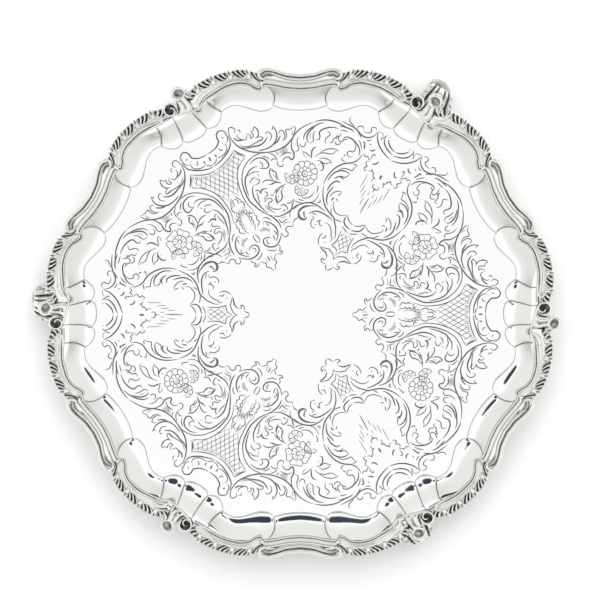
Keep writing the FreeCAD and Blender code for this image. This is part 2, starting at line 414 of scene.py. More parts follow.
def bouge_panels(rows, across_per_degree):
    """One repeat of the bouge as a panel for each lobe, from the flat's edge to the brim's
    and back underneath; it stays open at the flat and at the creases. Each is a grid of
    points and its darkness."""
    panels = []
    creases = all_creases()
    v = np.linspace(0, 1, rows)
    for left, right in zip(creases, creases[1:]):
        cols = max(14, int((right[0] - left[0]) * across_per_degree))
        u = 0.5 - 0.5 * np.cos(np.pi * np.linspace(0, 1, cols))
        V, U = np.meshgrid(v, u, indexing="ij")
        angle = crease_angle(left, V) + (crease_angle(right, V) - crease_angle(left, V)) * U
        toe = left[0] + (right[0] - left[0]) * U
        lip = left[2] + (right[2] - left[2]) * U
        r = toe_r(toe) + (lip_r(lip) - toe_r(toe)) * V
        lobe_width = math.radians(right[0] - left[0]) * 0.85 * CREST
        from_crease = np.minimum(U, 1 - U) * lobe_width
        z = FLAT_TOP + bouge_height(V, from_crease)
        # Painted shade along each crease and along the toe line
        crease_shade = 0.95 * np.exp(-((from_crease / 0.3) ** 2)) * smooth(V, 0.0, 0.12)
        toe_shade = 0.85 * np.exp(-((V * BOUGE_WIDTH / 0.42) ** 2))
        brim_r = edge_r(angle[-1:]) - BRIM_MARGIN
        r = np.concatenate([r, brim_r])
        angle = np.concatenate([angle, angle[-1:]])
        z = np.concatenate([z, np.full_like(brim_r, BRIM_TOP)])
        points = np.concatenate([polar(r, angle, z), polar(r, angle, z - SHEET)[::-1]])
        dark = np.zeros(points.shape[:2])
        dark[:rows] = np.clip(crease_shade + toe_shade, 0, 1)
        panels.append((points, dark))
    return panels


def bouge(rows):
    """The bouge and the brim all the way round."""
    points, faces, recess_shade, start = [], [], [], 0
    panels = bouge_panels(rows, 2.6)
    for k in range(REPEATS):
        for grid, dark in panels:
            points.append(turned(grid, k * PITCH).reshape(-1, 3))
            recess_shade.append(dark.reshape(-1))
            faces += grid_faces(*dark.shape, start)
            start += dark.size
    return new_mesh("bouge", np.concatenate(points), faces, np.concatenate(recess_shade))


def well():
    """The flat with the engraving cut into its top; its second material is the cuts'."""
    around = np.arange(0, 360, OUTLINE_STEP)
    outline = polar(toe_r(around), around, 0)[:, :2]
    verts, sunk, faces, cut = engraved_sheet(outline)
    top = np.column_stack([verts, FLAT_TOP - CUT_STEEPNESS * sunk])
    rim = np.column_stack([outline, np.full(len(outline), FLAT_TOP - SHEET)])
    count = len(top) + len(rim)
    underside = tuple(range(count - 1, len(top) - 1, -1))
    faces = [tuple(f) for f in faces] + [underside]
    slots = np.append(cut.astype(int), 0)
    return new_mesh("well", np.vstack([top, rim]), faces, np.zeros(count), slots)


def turned(points, degrees):
    """Points turned about the Z axis."""
    a = math.radians(degrees)
    c, s = math.cos(a), math.sin(a)
    return points @ np.array([[c, s, 0], [-s, c, 0], [0, 0, 1]])


class SALVER_OT_plate(bpy.types.Operator):
    """Raise the sheet and engrave it: the well, the bouge, the brim and the underside"""

    bl_idname = "salver.plate"
    bl_label = "Plate"

    def execute(self, context):
        look = context.scene.salver_look
        ring = bouge(look.bouge_rows)
        ring.data.materials.append(sheet_silver(look))
        stand_for(ring, "plate")
        flat = well()
        flat.data.materials.append(sheet_silver(look))
        flat.data.materials.append(cut_silver(look))
        stand_for(flat, "plate")
        return {"FINISHED"}


# ---- engraving ----

# Each line is one cut: its weight (1 fine, 2 usual, 3 heavy), then the points it runs through.
# A line that starts with a space goes on with the cut above it.
# A point is (across, out) in mm: across is clockwise from the drawing's axis, and out is
# from the middle of the plate.

CARTOUCHE = """
3 1,128.4 4,128.5 8,129.3 10.5,130.8 12.2,132.5 12.3,134.8 12.8,136.5 14.2,138 16,138.5 18,137.6
  19.5,136 20.1,133.5
3 20.1,133.5 19.8,130.5 18.6,127.2 16.5,125 14,123.2 10.5,121.5 6,120 1,119.3
2 18.2,136.2 19,134 18.9,131.5 17.8,129.8 16.2,128.7
2 15.1,134.3 16,132.8 16.9,133.1
2 14.3,129.4 15.3,128.6 15.4,126.7 14.5,125 12.5,123.6 10,122.8 7,122.7 5.6,123.2
2 5.6,123.2 4.5,121.6 2.5,120.8 1,120.7
3 5.2,125.9 6,125 5.7,123.4
3 1,126.4 1.1,125 1,123
2 9.9,128.8 10.1,127 11.2,126 12.3,126.5
1 13.6,130.8 14.2,129.7
2 1,116.7 5.3,116.8 9.8,117.9 14,119.7 17.3,121.6 18.4,122.9
3 18.4,122.9 19.6,120.2 21.2,117.4 23.1,114.8
2 23.1,114.8 20.8,113.4 17.8,112 15.5,110.3 13,107.5 11,104.3 9.4,100.5 8.2,96.3 7.6,91.5 7.5,87.5
  8,83.8 9,80.6 10,77.8
2 2.6,95 3.5,93 4.8,90.8 5.2,89
2 1,93.3 2.5,92.2 3,90.5 2.6,89 3.4,88.3
2 3.4,88.9 4.6,89.1 5.7,88.2 6,86.6 5.4,85.3 4.8,84.5 6,83.9
2 3.6,85.6 4.2,83.4 5.3,81.8 4.6,80.4 5.8,78.9 5,77.4 6.2,75.8 5.2,74.4 6.1,72.8 5,71.4 5.5,69.9
  4.4,68.4 3.6,66.6
1 2.6,85 3.2,82 4,79 4.3,76 4,73 3.2,70.5
2 7.7,81 6.3,79.7 6.8,78.5 8.1,78.3 9,79.4
2 9.7,78.2 8.6,76.3 9.7,74.9 8.5,73.2 9.4,71.5 8.8,70 7.4,69.2 6.3,67.8
2 1.4,65 2.4,64 2.7,62 2.4,59.6 1.4,57.9
2 12.4,101.3 14.5,104 17,107 20,109.3 23,110.9 26,111.7 30,111.8 32.5,111.4
3 16.5,106 14,103 12.5,100.5 11.5,98 10.7,95 10.1,91 10,88 10.2,85.5 11,83 12,80.3 13.2,77.5
  15,74.5 17,71.8 19,69.8
3 19,69.8 21,68 23,66.8 27,66.2 31,66.4 34,66.9 37,67.3 40,66.6
3 16.5,72 18,70 19,67.5 19.8,64.5 20,61.5 19.5,58.6
3 18.8,56.3 16.5,53.9 14.5,52.2 12,50.8 9.5,50.4 7,51 5,52.3 3.8,54 3.5,56 4.2,57.8 5.8,58.7
  8,58.3 9.6,57.3 10,55.8
2 8,56.9 6.6,56.6 5.8,55.4 6.2,54 7.4,53.7
3 11.2,69.9 12.6,68.9 14,67.7 15.2,66.2 16.2,64 16.8,61.5 16.7,59 16,57 14.8,55.2 13.2,53.7
  11.2,52.7
2 14.3,60.7 14.6,59 15.3,58 14.5,57 13.2,56.7
2 12.1,57.9 12.2,56.4 12,55 11.2,54
2 13.6,68 13,66.6 13.5,65.1 12.8,64.2
2 17.1,66 17.5,65.6
2 12.2,71.6 14,71.3 15.6,70 16.4,68 16.4,67
2 11.4,69 10.6,67.6
2 3,51.5 4.2,49.7 5.8,48.7 7.5,47.9 9.6,48
2 11.6,50.3 12.6,49.5 12.1,47.8 10.8,46.5 10.8,45.5 12.3,45.6 12.2,44.5 11,44.1 9.4,44.4 8.5,45.3
  7.5,45.6
2 7.5,45.6 6.3,44.9 5.3,43.8 4.3,42.8 5,41.4 4.8,40.2 3.5,39.5 2.8,38.8 2.8,37.7 2.2,36.8 1.4,35.8
1 3,46.8 3.3,44.6 3,42.4
1 1.4,47.2 1.5,44.8 1.4,42.6
2 18.4,56 18.2,54 19,52.6 20.5,52 21.8,53 22.1,54.5 21.3,55.5 21.9,56.8 23.5,57.7 25,57.1
  26.3,56.2 27.5,56.8 27.8,58.2
2 27.8,58.2 29,58.5 30,59.5 32,59.4 33.4,60.1
3 40,64.4 36.8,63.8 34.6,62 33.6,60 34,57.8 35.5,56.3 37.5,56.2 38.9,57.2
2 40,61 38.3,60.8 37.5,59.4 38,57.6
2 21.3,66 21.4,63.6 21.9,61.9 24,62.3 27,62.2
1 22.5,65.6 24.5,64.6 26.8,64.3
1 21.3,59.6 23,60.5 25.5,60.3 27.5,59.2
2 28.2,61.6 28.8,63.6 30,65.3 32,66.8 34,68.5 35.6,70.1 36.9,71.6
2 37,71.2 38.3,69.2 40,67.2
"""

SCROLL_LEAVES = """
3 11.4,88.8 11.5,91 12.2,94 13.2,97 14.5,99.7 16,101.5 17.8,102.7 19.5,104 22,105 25,105 27,104.2
3 27,103.2 28.2,101.9 29.7,101.5 30.7,100.7 32.3,100.5 33.6,101.3 34.2,102.8 34.1,105 33.3,107
  31.5,108.7 29,109.6 26,109.6 22.3,108.3
2 36,104 36,106 34.6,108 32.8,109.6
2 28.2,102.3 29.6,103 30.3,104.5 29.8,106 28.5,107
2 16.8,101.8 19,102 21.5,102.4 24,101.6 26.3,100.2
1 24.2,100 24.3,98.6 23.3,97.7
2 16.5,96.3 18,97.8 20,98.7 22.3,98.5
2 20.5,97.3 22,97 23.2,95.8 23,94.5 22,93.7 20.5,93.6 18.7,94.3
3 18.7,94.3 17,93.2 15.3,91 14.4,88.5 14,86 14.2,83 14.8,80 15.5,77 16.5,74.5 17.7,72.6
2 16.8,89.6 18.2,90.1 19.3,88.7 19.2,86.4
2 17,89.3 17.2,87.6 16.8,85.6 16,83.2 15.6,80.6
2 19.3,86.2 20.5,87.5 22,88.2 24,87.8 25.4,87.2
2 22.8,87 23,85.8 23.8,84.3 23.3,83.3 21.5,83 20,82 18.9,80
2 18.9,80 20.2,80.5 21.5,81.3 23,81.2 24.3,80 24.2,78.8 23,78.4 21.2,78.6 20.3,77 20,75 20.2,73
  21,71.3 21.8,70.2
1 19,79 19.2,77 19,74.6 19.3,72
1 18,79 18.2,76.5 18.4,74
2 20.9,76.6 21.5,74.4 23,72.5 25,71.5 27.2,70.7
2 26,69.2 27.5,68.6 29.2,69.3
2 31.5,90.5 30.9,93 31,95 31.6,97 33,98.5 34.3,99.6
2 33,98.3 33.7,96.8 34.4,95.8 35.4,94.7 35.2,93.3 34,92 33.5,90 34,88.4
2 23.5,92.2 25,93 27,93 29,92 31,90.2 32.5,88.6 34,87.2 35.7,86
2 28,88.7 30.5,88.8 32.5,88 34.5,86.7
2 24.6,82.9 25.8,81.8 27.2,81.2
2 27,82 29.5,83.3 32,84 35,84.4 38.5,84.3
2 28.4,80.9 30,82.3 32.8,83.3
2 27.8,80.6 26.8,78.5 26.3,76 26.4,73.9
2 32.6,82.2 31.8,79 31,77 29.5,75.9 27.4,75.5
2 27,72 28.3,73 29.6,72.5 29.8,70.8
2 31.2,72.1 32.6,72 34,71 36,71.9 38,72.4
3 20.9,133.6 20.9,130 21.2,127 22.2,124 24,120.5 26.5,117.2 29,114.7 32,112.4 35,110.6 38.5,109.2
2 21,131.2 21.3,133.5 22,135.5 23.2,136.8 24.5,136.7 26,135.2 26.4,134.2 25.5,133 24.7,131.6
1 23.4,134.6 23.7,133.6
2 26.9,133 28,132.8 28.9,131.8 28.6,130.8 27.7,130.3
2 26.6,131 25.5,129.8 25.6,128.4 26.5,126.8 28,125.3 29.5,124.8 31,125.8 31.3,127.3
2 31.3,127.3 32.1,127.8 33.1,126.8 33.6,125.4 32.5,124.2 34,123.6 35.3,124.7 35.5,126.5 35,127.6
  37,127.8 38.5,129.8
2 38.5,129.8 39.5,128 39.7,126 39,124.3 38,123 36.5,122.2 35,122
2 36.7,122.1 38.6,121.5 39.8,120.2 39,118.7 38,118.7 36,119.2 33,119.3 30.5,119.4 28,119.9
  25.5,121.6 23.4,124
3 22.3,129.9 23.5,127.8 25.5,126.2 28,125.2
3 23,122.6 26,119.8 29,118.6 31.5,117.8 34,116.9 37,116.4 40,116.9 42,117.9
2 32.5,114 34.5,113 37,112.3 40,112.1
"""

SHELL_FRAME = """
3 -1.2,130.3 2,131 4.5,132.7 6,134.3 7,136
1 6.2,136.4 7,138.2
3 -1.2,127.4 2,128.3 5.5,129.8 8,131.9 9.2,134 9.3,136.2
2 8.4,138.2 9.6,136.6 10.5,135 11.7,133.4 10.4,132.3
3 -1.2,124 3,125 7,126.6 10.5,128.8 13.5,131.8 15,134.3 16.2,137.4
1 11.8,134.8 11.5,136.4 12.6,137.3 16.4,137.3
3 16.4,137 16.8,133.8 18.3,131.5 20.5,129.8 23,129 26,129.2 28,130 30,130.7 33,131.2 37,131.1
  42,130.9
2 17.4,136.9 18.2,138.1 19.6,138.3 21,137.4 21.2,136 20.2,135.1 20.4,133.9 21.4,132.9 23.1,132.2
  25.5,132.4
2 25.6,132.8 26.1,134 27.5,134.6 29,133.8 29.6,132.4 29,131.1
2 31.6,132 34,132.5 36.2,133.3 37.3,134.6 37.2,136.8
2 17.3,130 18.3,128.7 20,128 21.1,128
2 23.9,126.9 25.3,128 27,128.9 29,129.9
3 30.5,128.3 33,128.9 36,128.7 39,128 42,127
3 18.5,121.2 19.6,123 20.3,124.9 21.1,126.6
3 20.6,126.2 22.2,124.9
2 20.2,120.4 21.6,122.2 23.4,124 25.6,125.3
3 18.2,118.6 18.3,115 19.3,112 21.3,109.3 24,107.3 26.5,105 28.5,102 29.9,98.8 30.7,95.5 31,92
  30.8,89 30.2,86
3 30.2,86 29,83.2 27.5,79.8 25.5,77 23,74.5 20,72.7 16,71.2 12.6,69.9 10.5,67.6 8.2,65 6.8,62.3
  5.8,60 5.6,56.8
3 19.6,115.6 20.5,118.4 22.5,120.6 25,122 28,123 31,123.4 33.5,123 34.8,121.8 34.7,120.5 33.8,119.9
2 33.9,119.8 34.9,118.7 36.4,118 37.8,118.8 38.4,120.3 38.2,122.3 37.9,123.9
2 27.6,122.4 25.3,120.8 24.3,119 24.2,117 24.6,116 26.3,115.8 27.3,114.8 27.5,113.5 26.5,112.3
  25,111.8 24,112.4 22.9,114
2 27.3,112.1 28.3,111.1 28.5,109.6
2 28.2,109 28.9,107.8 27.5,107.1 25.4,107.3
2 40,121.6 39.7,119.6 38.9,118
2 -1.2,98 -1.2,100 -1.3,101.5 0,101.2 1,102.3 0.8,103.8 0,104.3
2 1.9,104.2 3.4,105.3 2.9,106.7 1.9,107.9 3.3,108 4,109 4.3,110.5 5.5,110.7 6,112.1 6.6,111
  7.6,110 9,110.4
2 9,110.4 10,109.8 10.3,108.7 11.4,109.5 11.9,110.8 11,111.8 10.5,112.2 11.6,113 12.9,114.3
  12.3,115.5 10.9,116.4
2 10.9,116.4 11,117.1 12.6,117.3 14,118.9 15,118 16,117.8 17,118.7 18.2,118.6
3 5.2,119.3 5.5,117.8 6.5,116.3 7.5,115.7 8.7,116.3
3 11.8,125.6 12.3,124.3 13.5,123.2 15.6,122.9
3 16.4,127.2 17.1,125.9
2 9.3,120.3 9.8,121.9 11,121.8 11.3,119.5 11,117.3
3 -1.3,112.6 -1.5,110.8 -1.3,108.8
1 7.7,108 7.6,102 7.7,96.4
1 5.5,101 5.6,93
1 3.4,98 3.4,90.8
1 1.7,92.8 2,86.8
1 0.5,98 0.6,94.8
2 -1.2,94.6 -1.2,88 -1.2,81.4
2 -1.2,72.7 1,73 3,74 4.8,75.7 5.8,76.9
2 5.8,76.9 7,75.5 8.8,74.2 11.5,73.5 14,74 16,75.5 17.7,77.2 18.4,79 17.8,80.4
3 -1.2,69 1.5,69.3 4,70.3 5.5,71.8 6,73.6 5.8,76
2 6.3,70.8 8.5,70 12.3,69.8
2 -1.2,66.3 1,66.5 3,67.5 5,68.3
2 17.8,75.1 17,73.3 15.4,71.8
3 20.8,75 22.5,76.5 24,79 24.8,82 24.5,85 23.8,87.6 23.6,89.2
3 26.2,83.4 26.3,86 26,89 25,91.5 23.5,93.3 21.9,93.2 20.8,93.9
3 20.6,95.2 20.8,96.2 22,96.6 24,96.4 25.3,95 26.4,93.2
3 29,89.4 29.2,92.5 28.8,95.5 27.6,98 25.5,100.2 23,101.5 20.5,101.7 18.2,101
2 18.3,100.8 19.4,99.6 20,98.1 21.5,97.5 24,97.3
2 27.2,99.4 25.5,101.8 23,103.5 20.5,104 18.6,104.2 18.2,106 17.9,107.8 16.3,109
2 16.2,109.1 18.5,109.4 20.6,108.6
3 19.5,82.7 20.3,81 20,79
2 16.1,87.7 18,88 20,87 21.5,85.2 22.4,83 22.2,81.2
2 15.9,87.4 17.1,86.3 17.5,84.6
2 16.2,80.8 17,82.1 18.6,82.4
2 3.9,66 3.6,63 3.4,60 3.5,57.5 4,55 4.9,53 3.2,52.2 1.2,52 0,50.5 -1.2,47.4
2 -1.2,44 -0.8,45.6 0.3,47 2,48.3 4,49 5.5,49.5 7,48.9 9,48.3 11.6,47.9
2 12.2,48.1 13.5,49.5 14.5,51.5 15,53.5 14.6,55.5 14,57
2 11.2,57.3 11.8,56 11.3,54.8 12.2,53.8 13.8,53.3
2 7.2,53.9 6.7,55.8 7.2,57.3 8.5,58.3 9,60 10,61.5 11.5,63.2 13,64 15,64.3 17.2,63.7
2 9.2,51.7 10.6,51.8
3 12.2,67.7 14,68.3 17,68.8 20,69 23,68.8 26,67.8 28,66 29,64.2 29,62.8
2 16.2,61 17.8,60.7 19.2,61 20,62.5 20,63.8 19,64.4
2 20.5,64.1 21,62.7 21.6,61.2
2 24,66.2 26,65.5 28,65.4
2 27.4,64.1 26.5,63.5 25,63.2 24.7,62.3 25.5,61.2 25.3,59.5 24.5,57.8 23,56.7 21.5,56.7 20.2,57.3
2 21.5,60.1 22.1,58.6
3 3,43.4 4.3,45.2 6,46.5 8.5,47 11.2,47.5
2 3.2,43.8 3.5,42 4.5,41.3 5.6,42 5.8,40.8 5,39.6 3.3,39.3 1.3,39.8
2 1.3,39.8 0.8,38 0,36.6 -1.2,35.6
3 26.8,70.6 29,70.2 31,69 33,67.3 34.5,65.5 35.5,63 35.6,60.5 34.5,59 33,58.2 31,58.4 30,59.6
2 31.7,63.1 32,61.5 31,60.2 29.6,60
"""

FLOWER_FRAME = """
3 -33,114.4 -28,113.7 -22,113.8 -16,115 -11,117.2 -7.5,120 -5,123 -3.3,125.6 -1,128.3 2,130.7
  6,133 10,134.6
3 10,134.6 14,135.5 18,135.7 22,135.3 26,134.3 30,132.5 33,130.9
2 -30,123.8 -28,124.4 -26,124.2 -25.2,123.1 -26,122.4 -28,121.8 -30,120.5 -33,119
3 -33,117.5 -30,117.8 -27,118.8 -24.5,120.7 -23,123 -22.3,124.6
2 -23.6,125.6 -23.3,127.3 -22,127.6 -20.5,126.8 -19.5,125 -20,122.8 -21.2,121.2
3 -28.4,115.2 -24,115.8 -20.5,117.3 -18,119.5 -16.5,122 -15.8,125 -16.2,128 -17.5,130.3 -18.8,132
2 -18.8,132 -18.2,130.2 -19.6,129
3 -19.5,118.3 -16,120.5 -14.3,123 -13.2,125.4
2 -14.1,125.9 -14,127.8 -12.5,128.8 -11,127.8 -10.2,126 -10.5,123.5 -12.5,120.8
2 -3,132.2 -4.5,130.8 -6.5,129.5 -8.5,129.5 -9.5,128.5 -9,126.8 -8.8,125 -9.8,123 -11.2,121.3
2 -3,132.2 -2.6,130 -3.3,127.5 -4.3,125
1 -5,124.5 -4.8,127.5 -5.5,129
2 -32,129 -31.5,131.6 -30,130.5 -28.7,128 -28.3,125.6 -29,124
1 -14.5,113.4 -8,118.2
1 -14,112.9 -7.7,117
1 -13,112.7 -7.5,115.8
1 -12,112.5 -7.3,114.7
2 -16.6,113.8 -15.4,113.2 -14.6,111.6
3 -4.5,123.5 -5.3,121 -5.6,118 -5.3,115.8 -4.3,114.2 -3.4,112 -3.7,109.6 -4.4,108.3 -5.7,108.6
  -6.6,109.8 -8,110.2 -10,109.6 -11.3,108 -11.5,106.2
2 -11.5,106.2 -11,104.7 -12,103.7 -13.7,103.8 -15,105 -15.3,107 -15.6,108.3
2 -4.2,112 -6,112.8 -8.5,113.2 -11,112.3 -13.8,110.7
2 -15.6,108.3 -17.2,109.4 -19,108.9 -20.2,107.2
2 -21.6,113.2 -18,112 -16,110 -15,108
2 -33,110.4 -30,111.8 -26.6,113.4
2 -0.2,124.6 -1.3,122.5 -1.5,120 -1.2,118 -0.3,116.5 -0.7,114.3 -2,114 -3.2,112.9
2 0.2,120 0.8,118 2.3,116.8 3.8,117.5 4.3,119.3 4.2,120.6
3 3,121.4 3.5,124.5 4.8,127 7,129.3 10,131.3 13,133 17.2,134.1
3 7,119.5 5.8,121 5.5,123.5 6.2,126 8,128.5 11,131
2 7,119.4 9,120.3 10,121.5 9.8,123.5 9.8,125.5 10.3,127.2 11.2,128.5
1 8,122 7.6,124.5 8.4,126.8
3 11.5,122.3 13,121.9 14.2,123 14.3,124.8 13.8,126.5 14.3,128 16,129.3 18.5,130.3 21,130.9
  24,130.8 27.4,130.2
2 18.8,129.2 20.3,127.5 21.2,126.3 20,124.8 18.5,123.5 18,121.5 18.7,119.2
2 20.2,121 22,120.4 23,121 23,122.5 24.5,124 26.5,125 28.5,125.3
2 28.8,121.4 28,119.8 26,119.2 24.5,120.4 24.5,122.2
2 28.8,121.6 31,122.7 33.5,122.8
2 27.6,129.5 31,128.7 33.5,128
3 8.2,109 8.5,112 8.8,114.5 10,116.3 12.2,117.3
2 10.5,110 12.5,112 15,113.2 18,113.3 21,112.5 23.5,113 25,114.5 27.2,114.8
2 27.2,114.8 25.5,115.7 23,116.3 19.5,116 16.5,114.8 13.8,112.9
2 2,113.9 4,113.3 6,112 8,110
1 2.5,113.8 3.3,111.5 5.2,109.8
2 11.5,108 14,107.8 16,106.5 17.5,105.5 19,105.8 20.5,106.3 22.2,105.7
2 22.2,105.7 21,107.5 19,109 16,109.8 13.3,109.2
3 14,107.5 15.8,105.5 16.5,103 15.8,101.2 14.2,100.8
1 13.2,104 13.6,106.2
2 -14,94 -16,97 -16.3,99.5 -18,100.5 -20,102.9
2 -20,102.9 -21,99.5 -20,96.5 -18.3,94
1 -18.4,99 -17.6,96
2 -12.5,92.5 -16,92.8 -19,91.1 -21.6,91
2 -25.6,92 -23.5,93.7 -20,94 -17,93.3 -12.8,92.3
2 -10.6,90.6 -14,89 -16.8,86.8
2 -15.2,88.6 -15.8,85 -15.7,82 -14.3,79.2 -12.5,81 -11.3,83 -12.2,86 -11.8,88.5 -10.4,90.5
1 -14.3,84.5 -14.2,81.5
2 -24.2,88.4 -26,87.2 -26.6,85.2 -25.4,84.6
2 -4,81 -3,79.7 -1,78.8 2,78.2 6,78.5 9,79.5 11.5,81.5 13.4,85.6
2 0.5,82.6 3,81.8 6,82.3 8.5,84 9.9,86.7
2 11.5,85 12.5,88 13,90 11,90.1
2 -1,82 0.2,80.6 3.2,80
3 -4.6,73 -1.5,76.3 1.5,77.8 5,78.5 8.5,78.3 12,77 15,75 18,72.4
2 0,73.3 2,75.5 5,76.5 8.2,76.4
2 -8.6,78.4 -6,78.7 -4.8,80.6
2 -4.3,79 -5.3,76 -4.8,73.5
2 -11.6,77.4 -10.4,77.8 -9.3,76.4 -8.2,74.6 -8.6,73
2 11.5,78.8 14.2,79.4 13.4,81.6
1 12,79.4 13.8,80
"""

# How far each drawing's own middle lies from its axis
CARTOUCHE_MIDDLE = (1.2, 0.0)
SHELL_MIDDLE = (-1.2, 0.0)
FLOWER_MIDDLE = (1.0, 0.6)

CUT_WIDTH = {1: 0.46, 2: 0.74, 3: 1.02}
CUT_STEEPNESS = 0.9              # depth gained for each mm inside a cut's edge
CUT_STEP = 1.2                   # longest run between points of a curved cut
HATCH_STEP = 4.0                 # and of a straight one
ENGRAVED_MIDDLE = (0.6, -1.0)    # the engraving isn't quite in the middle of the flat
ENGRAVED_STRETCH = 1.01          # and it's a little longer than wide

# Places filled with hatching, as (across, out): all but the band are right halves
WEDGE = [
    (0, 116.3), (8.6, 117.4), (16.4, 121), (17.6, 122), (21.6, 114.6), (16.6, 111.4),
    (12, 107), (8.6, 101), (6.8, 95), (4.2, 90.6), (2, 94.4), (0, 94.2),
]
WEDGE_SHADE = [(0, 116.3), (8.6, 117.4), (16.4, 121), (17.6, 122), (19.4, 118.4), (9.6, 114), (0, 112.8)]
DROP_SHADE = [(0, 86.4), (2.2, 84.6), (3.2, 79.4), (2.2, 76.6), (1.1, 79.5), (0, 78.6)]
BAND_SHADE = [(4.6, 66), (9.4, 66.6), (12, 62.6), (10.6, 59.6), (8.4, 62.6), (5.6, 63.6)]
PANEL = [(0, 65.6), (4.6, 66), (4.5, 58), (5, 54), (2.4, 52.2), (0, 49.4)]


def read_cuts(text, middle):
    """Weights and points of a drawing, measured from its own middle."""
    cuts = []
    for line in filter(None, text.replace("\n ", " ").splitlines()):
        weight, *points = line.split()
        pairs = np.array([[float(v) for v in p.split(",")] for p in points]) - middle
        cuts.append((CUT_WIDTH[int(weight)], pairs))
    return cuts


def spline(points, step):
    """Smooth run of points through a few, closer together than a step."""
    p = np.vstack([2 * points[0] - points[1], points, 2 * points[-1] - points[-2]])
    out = []
    for k in range(1, len(p) - 2):
        n = max(1, int(np.ceil(np.linalg.norm(p[k + 1] - p[k]) / step)))
        t = (np.arange(n) / n)[:, None]
        a, b, c, d = p[k - 1], p[k], p[k + 1], p[k + 2]
        reach = np.linalg.norm(c - b)
        m0 = (c - a) / max(np.linalg.norm(b - a) + reach, 1e-6) * reach
        m1 = (d - b) / max(np.linalg.norm(d - c) + reach, 1e-6) * reach
        from_b = (2 * t**3 - 3 * t**2 + 1) * b + (t**3 - 2 * t**2 + t) * m0
        to_c = (3 * t**2 - 2 * t**3) * c + (t**3 - t**2) * m1
        out.append(from_b + to_c)
    out.append(p[-2][None])
    return np.vstack(out)


def placed(pairs, axis, mirrored):
    """Drawing points in the plate's frame."""
    a = math.radians(axis)
    x = pairs[:, 0] * (-1 if mirrored else 1)
    r = pairs[:, 1]
    return np.stack([r * math.cos(a) + x * math.sin(a), r * math.sin(a) - x * math.cos(a)], -1)


def facing(a):
    """Turns (along, across) pairs to an angle in radians."""
    return np.array([[math.cos(a), math.sin(a)], [-math.sin(a), math.cos(a)]])


def petal_ring(middle, inner, outer, count, start, notch=0.0):
    """Open petals round a middle, each with its vein; a notch makes their ends heart-shaped."""
    cuts = []
    half = math.pi / count
    across = np.array([-1, -1.02, -0.75, 0, 0.75, 1.02, 1]) * half * 0.92
    belly, shoulder = (inner + outer) * 0.55, outer * 0.94
    out = np.array([inner, belly, shoulder, outer * (1 - notch), shoulder, belly, inner])
    vein = np.array([[inner * 1.15, 0], [outer * 0.72, 0]])
    for k in range(count):
        a = start + 2 * half * k
        petal = np.stack([out * np.cos(a + across), out * np.sin(a + across)], -1)
        cuts.append((CUT_WIDTH[1] * 1.2, middle + petal))
        cuts.append((CUT_WIDTH[1], middle + vein @ facing(a)))
    return cuts


def ring_cut(middle, radius, weight):
    a = np.linspace(0, 2 * math.pi, 9)
    return CUT_WIDTH[weight], middle + radius * np.stack([np.cos(a), np.sin(a)], -1)


def daisy():
    """Round-centred flower with two rings of petals, and two buds half hidden beside it."""
    middle, bud, lower = np.array([3.2, 98.6]), np.array([-6.4, 96.4]), np.array([0.2, 87.5])
    cuts = petal_ring(middle, 4.6, 9.0, 11, 0.2, 0.06) + petal_ring(middle, 2.3, 4.9, 8, 0.0)
    cuts += [ring_cut(middle, 2.1, 2), ring_cut(middle, 0.8, 1)]
    cuts += petal_ring(bud, 1.6, 5.2, 7, 1.2, 0.08)[4:14] + [ring_cut(bud, 1.3, 2)]
    cuts += petal_ring(lower, 1.4, 5.0, 8, 0.4, 0.1)[6:] + [ring_cut(lower, 1.2, 1)]
    return cuts


def rose():
    """Five heart-shaped petals round a small rose, with two flowers half hidden behind."""
    middle, lower, side = np.array([-1.8, 98.2]), np.array([-3.4, 86.8]), np.array([7.2, 94.0])
    cuts = petal_ring(middle, 4.2, 10.0, 5, 0.5, 0.16) + petal_ring(middle, 1.7, 5.2, 5, 1.1, 0.1)
    cuts += [ring_cut(middle, 1.5, 2)]
    cuts += petal_ring(lower, 1.5, 5.6, 6, 0.3, 0.12)[4:] + [ring_cut(lower, 1.3, 2)]
    cuts += petal_ring(side, 1.3, 5.0, 6, 0.9, 0.1)[:8]
    return cuts


def inside(polygon, points):
    """Whether each point lies within a polygon."""
    found = np.zeros(len(points), bool)
    for a, b in zip(polygon, np.roll(polygon, -1, 0)):
        if a[1] == b[1]:
            continue
        spans = (a[1] > points[:, 1]) != (b[1] > points[:, 1])
        crossing = a[0] + (points[:, 1] - a[1]) * (b[0] - a[0]) / (b[1] - a[1])
        found ^= spans & (points[:, 0] < crossing)
    return found


def hatch(polygon, spacing, lean=0.0):
    """Fine parallel cuts filling a polygon; lean is the run sideways for each mm outwards."""
    lo, hi = polygon.min(0), polygon.max(0)
    cuts = []
    out = np.arange(lo[1], hi[1], 0.4)
    side = hi[0] + abs(lean) * (hi[1] - lo[1])
    for x in np.arange(-spacing * round(side / spacing), side, spacing):
        run = np.stack([x + lean * (out - (lo[1] + hi[1]) / 2), out], -1)
        within = inside(polygon, run)
        edges = np.flatnonzero(np.diff(np.concatenate([[0], within.astype(int), [0]])))
        for a, b in zip(edges[::2], edges[1::2]):
            if b - a > 3:
                cuts.append((CUT_WIDTH[1], run[[a, (a + b) // 2, b - 1]]))
    return cuts


def both_sides(half):
    """Whole outline from its right half, whose ends lie on the axis."""
    half = np.array(half, float)
    return np.vstack([half, (half * [-1, 1])[::-1]])


def lattice(half, spacing, lean):
    return hatch(both_sides(half), spacing, lean) + hatch(both_sides(half), spacing, -lean)


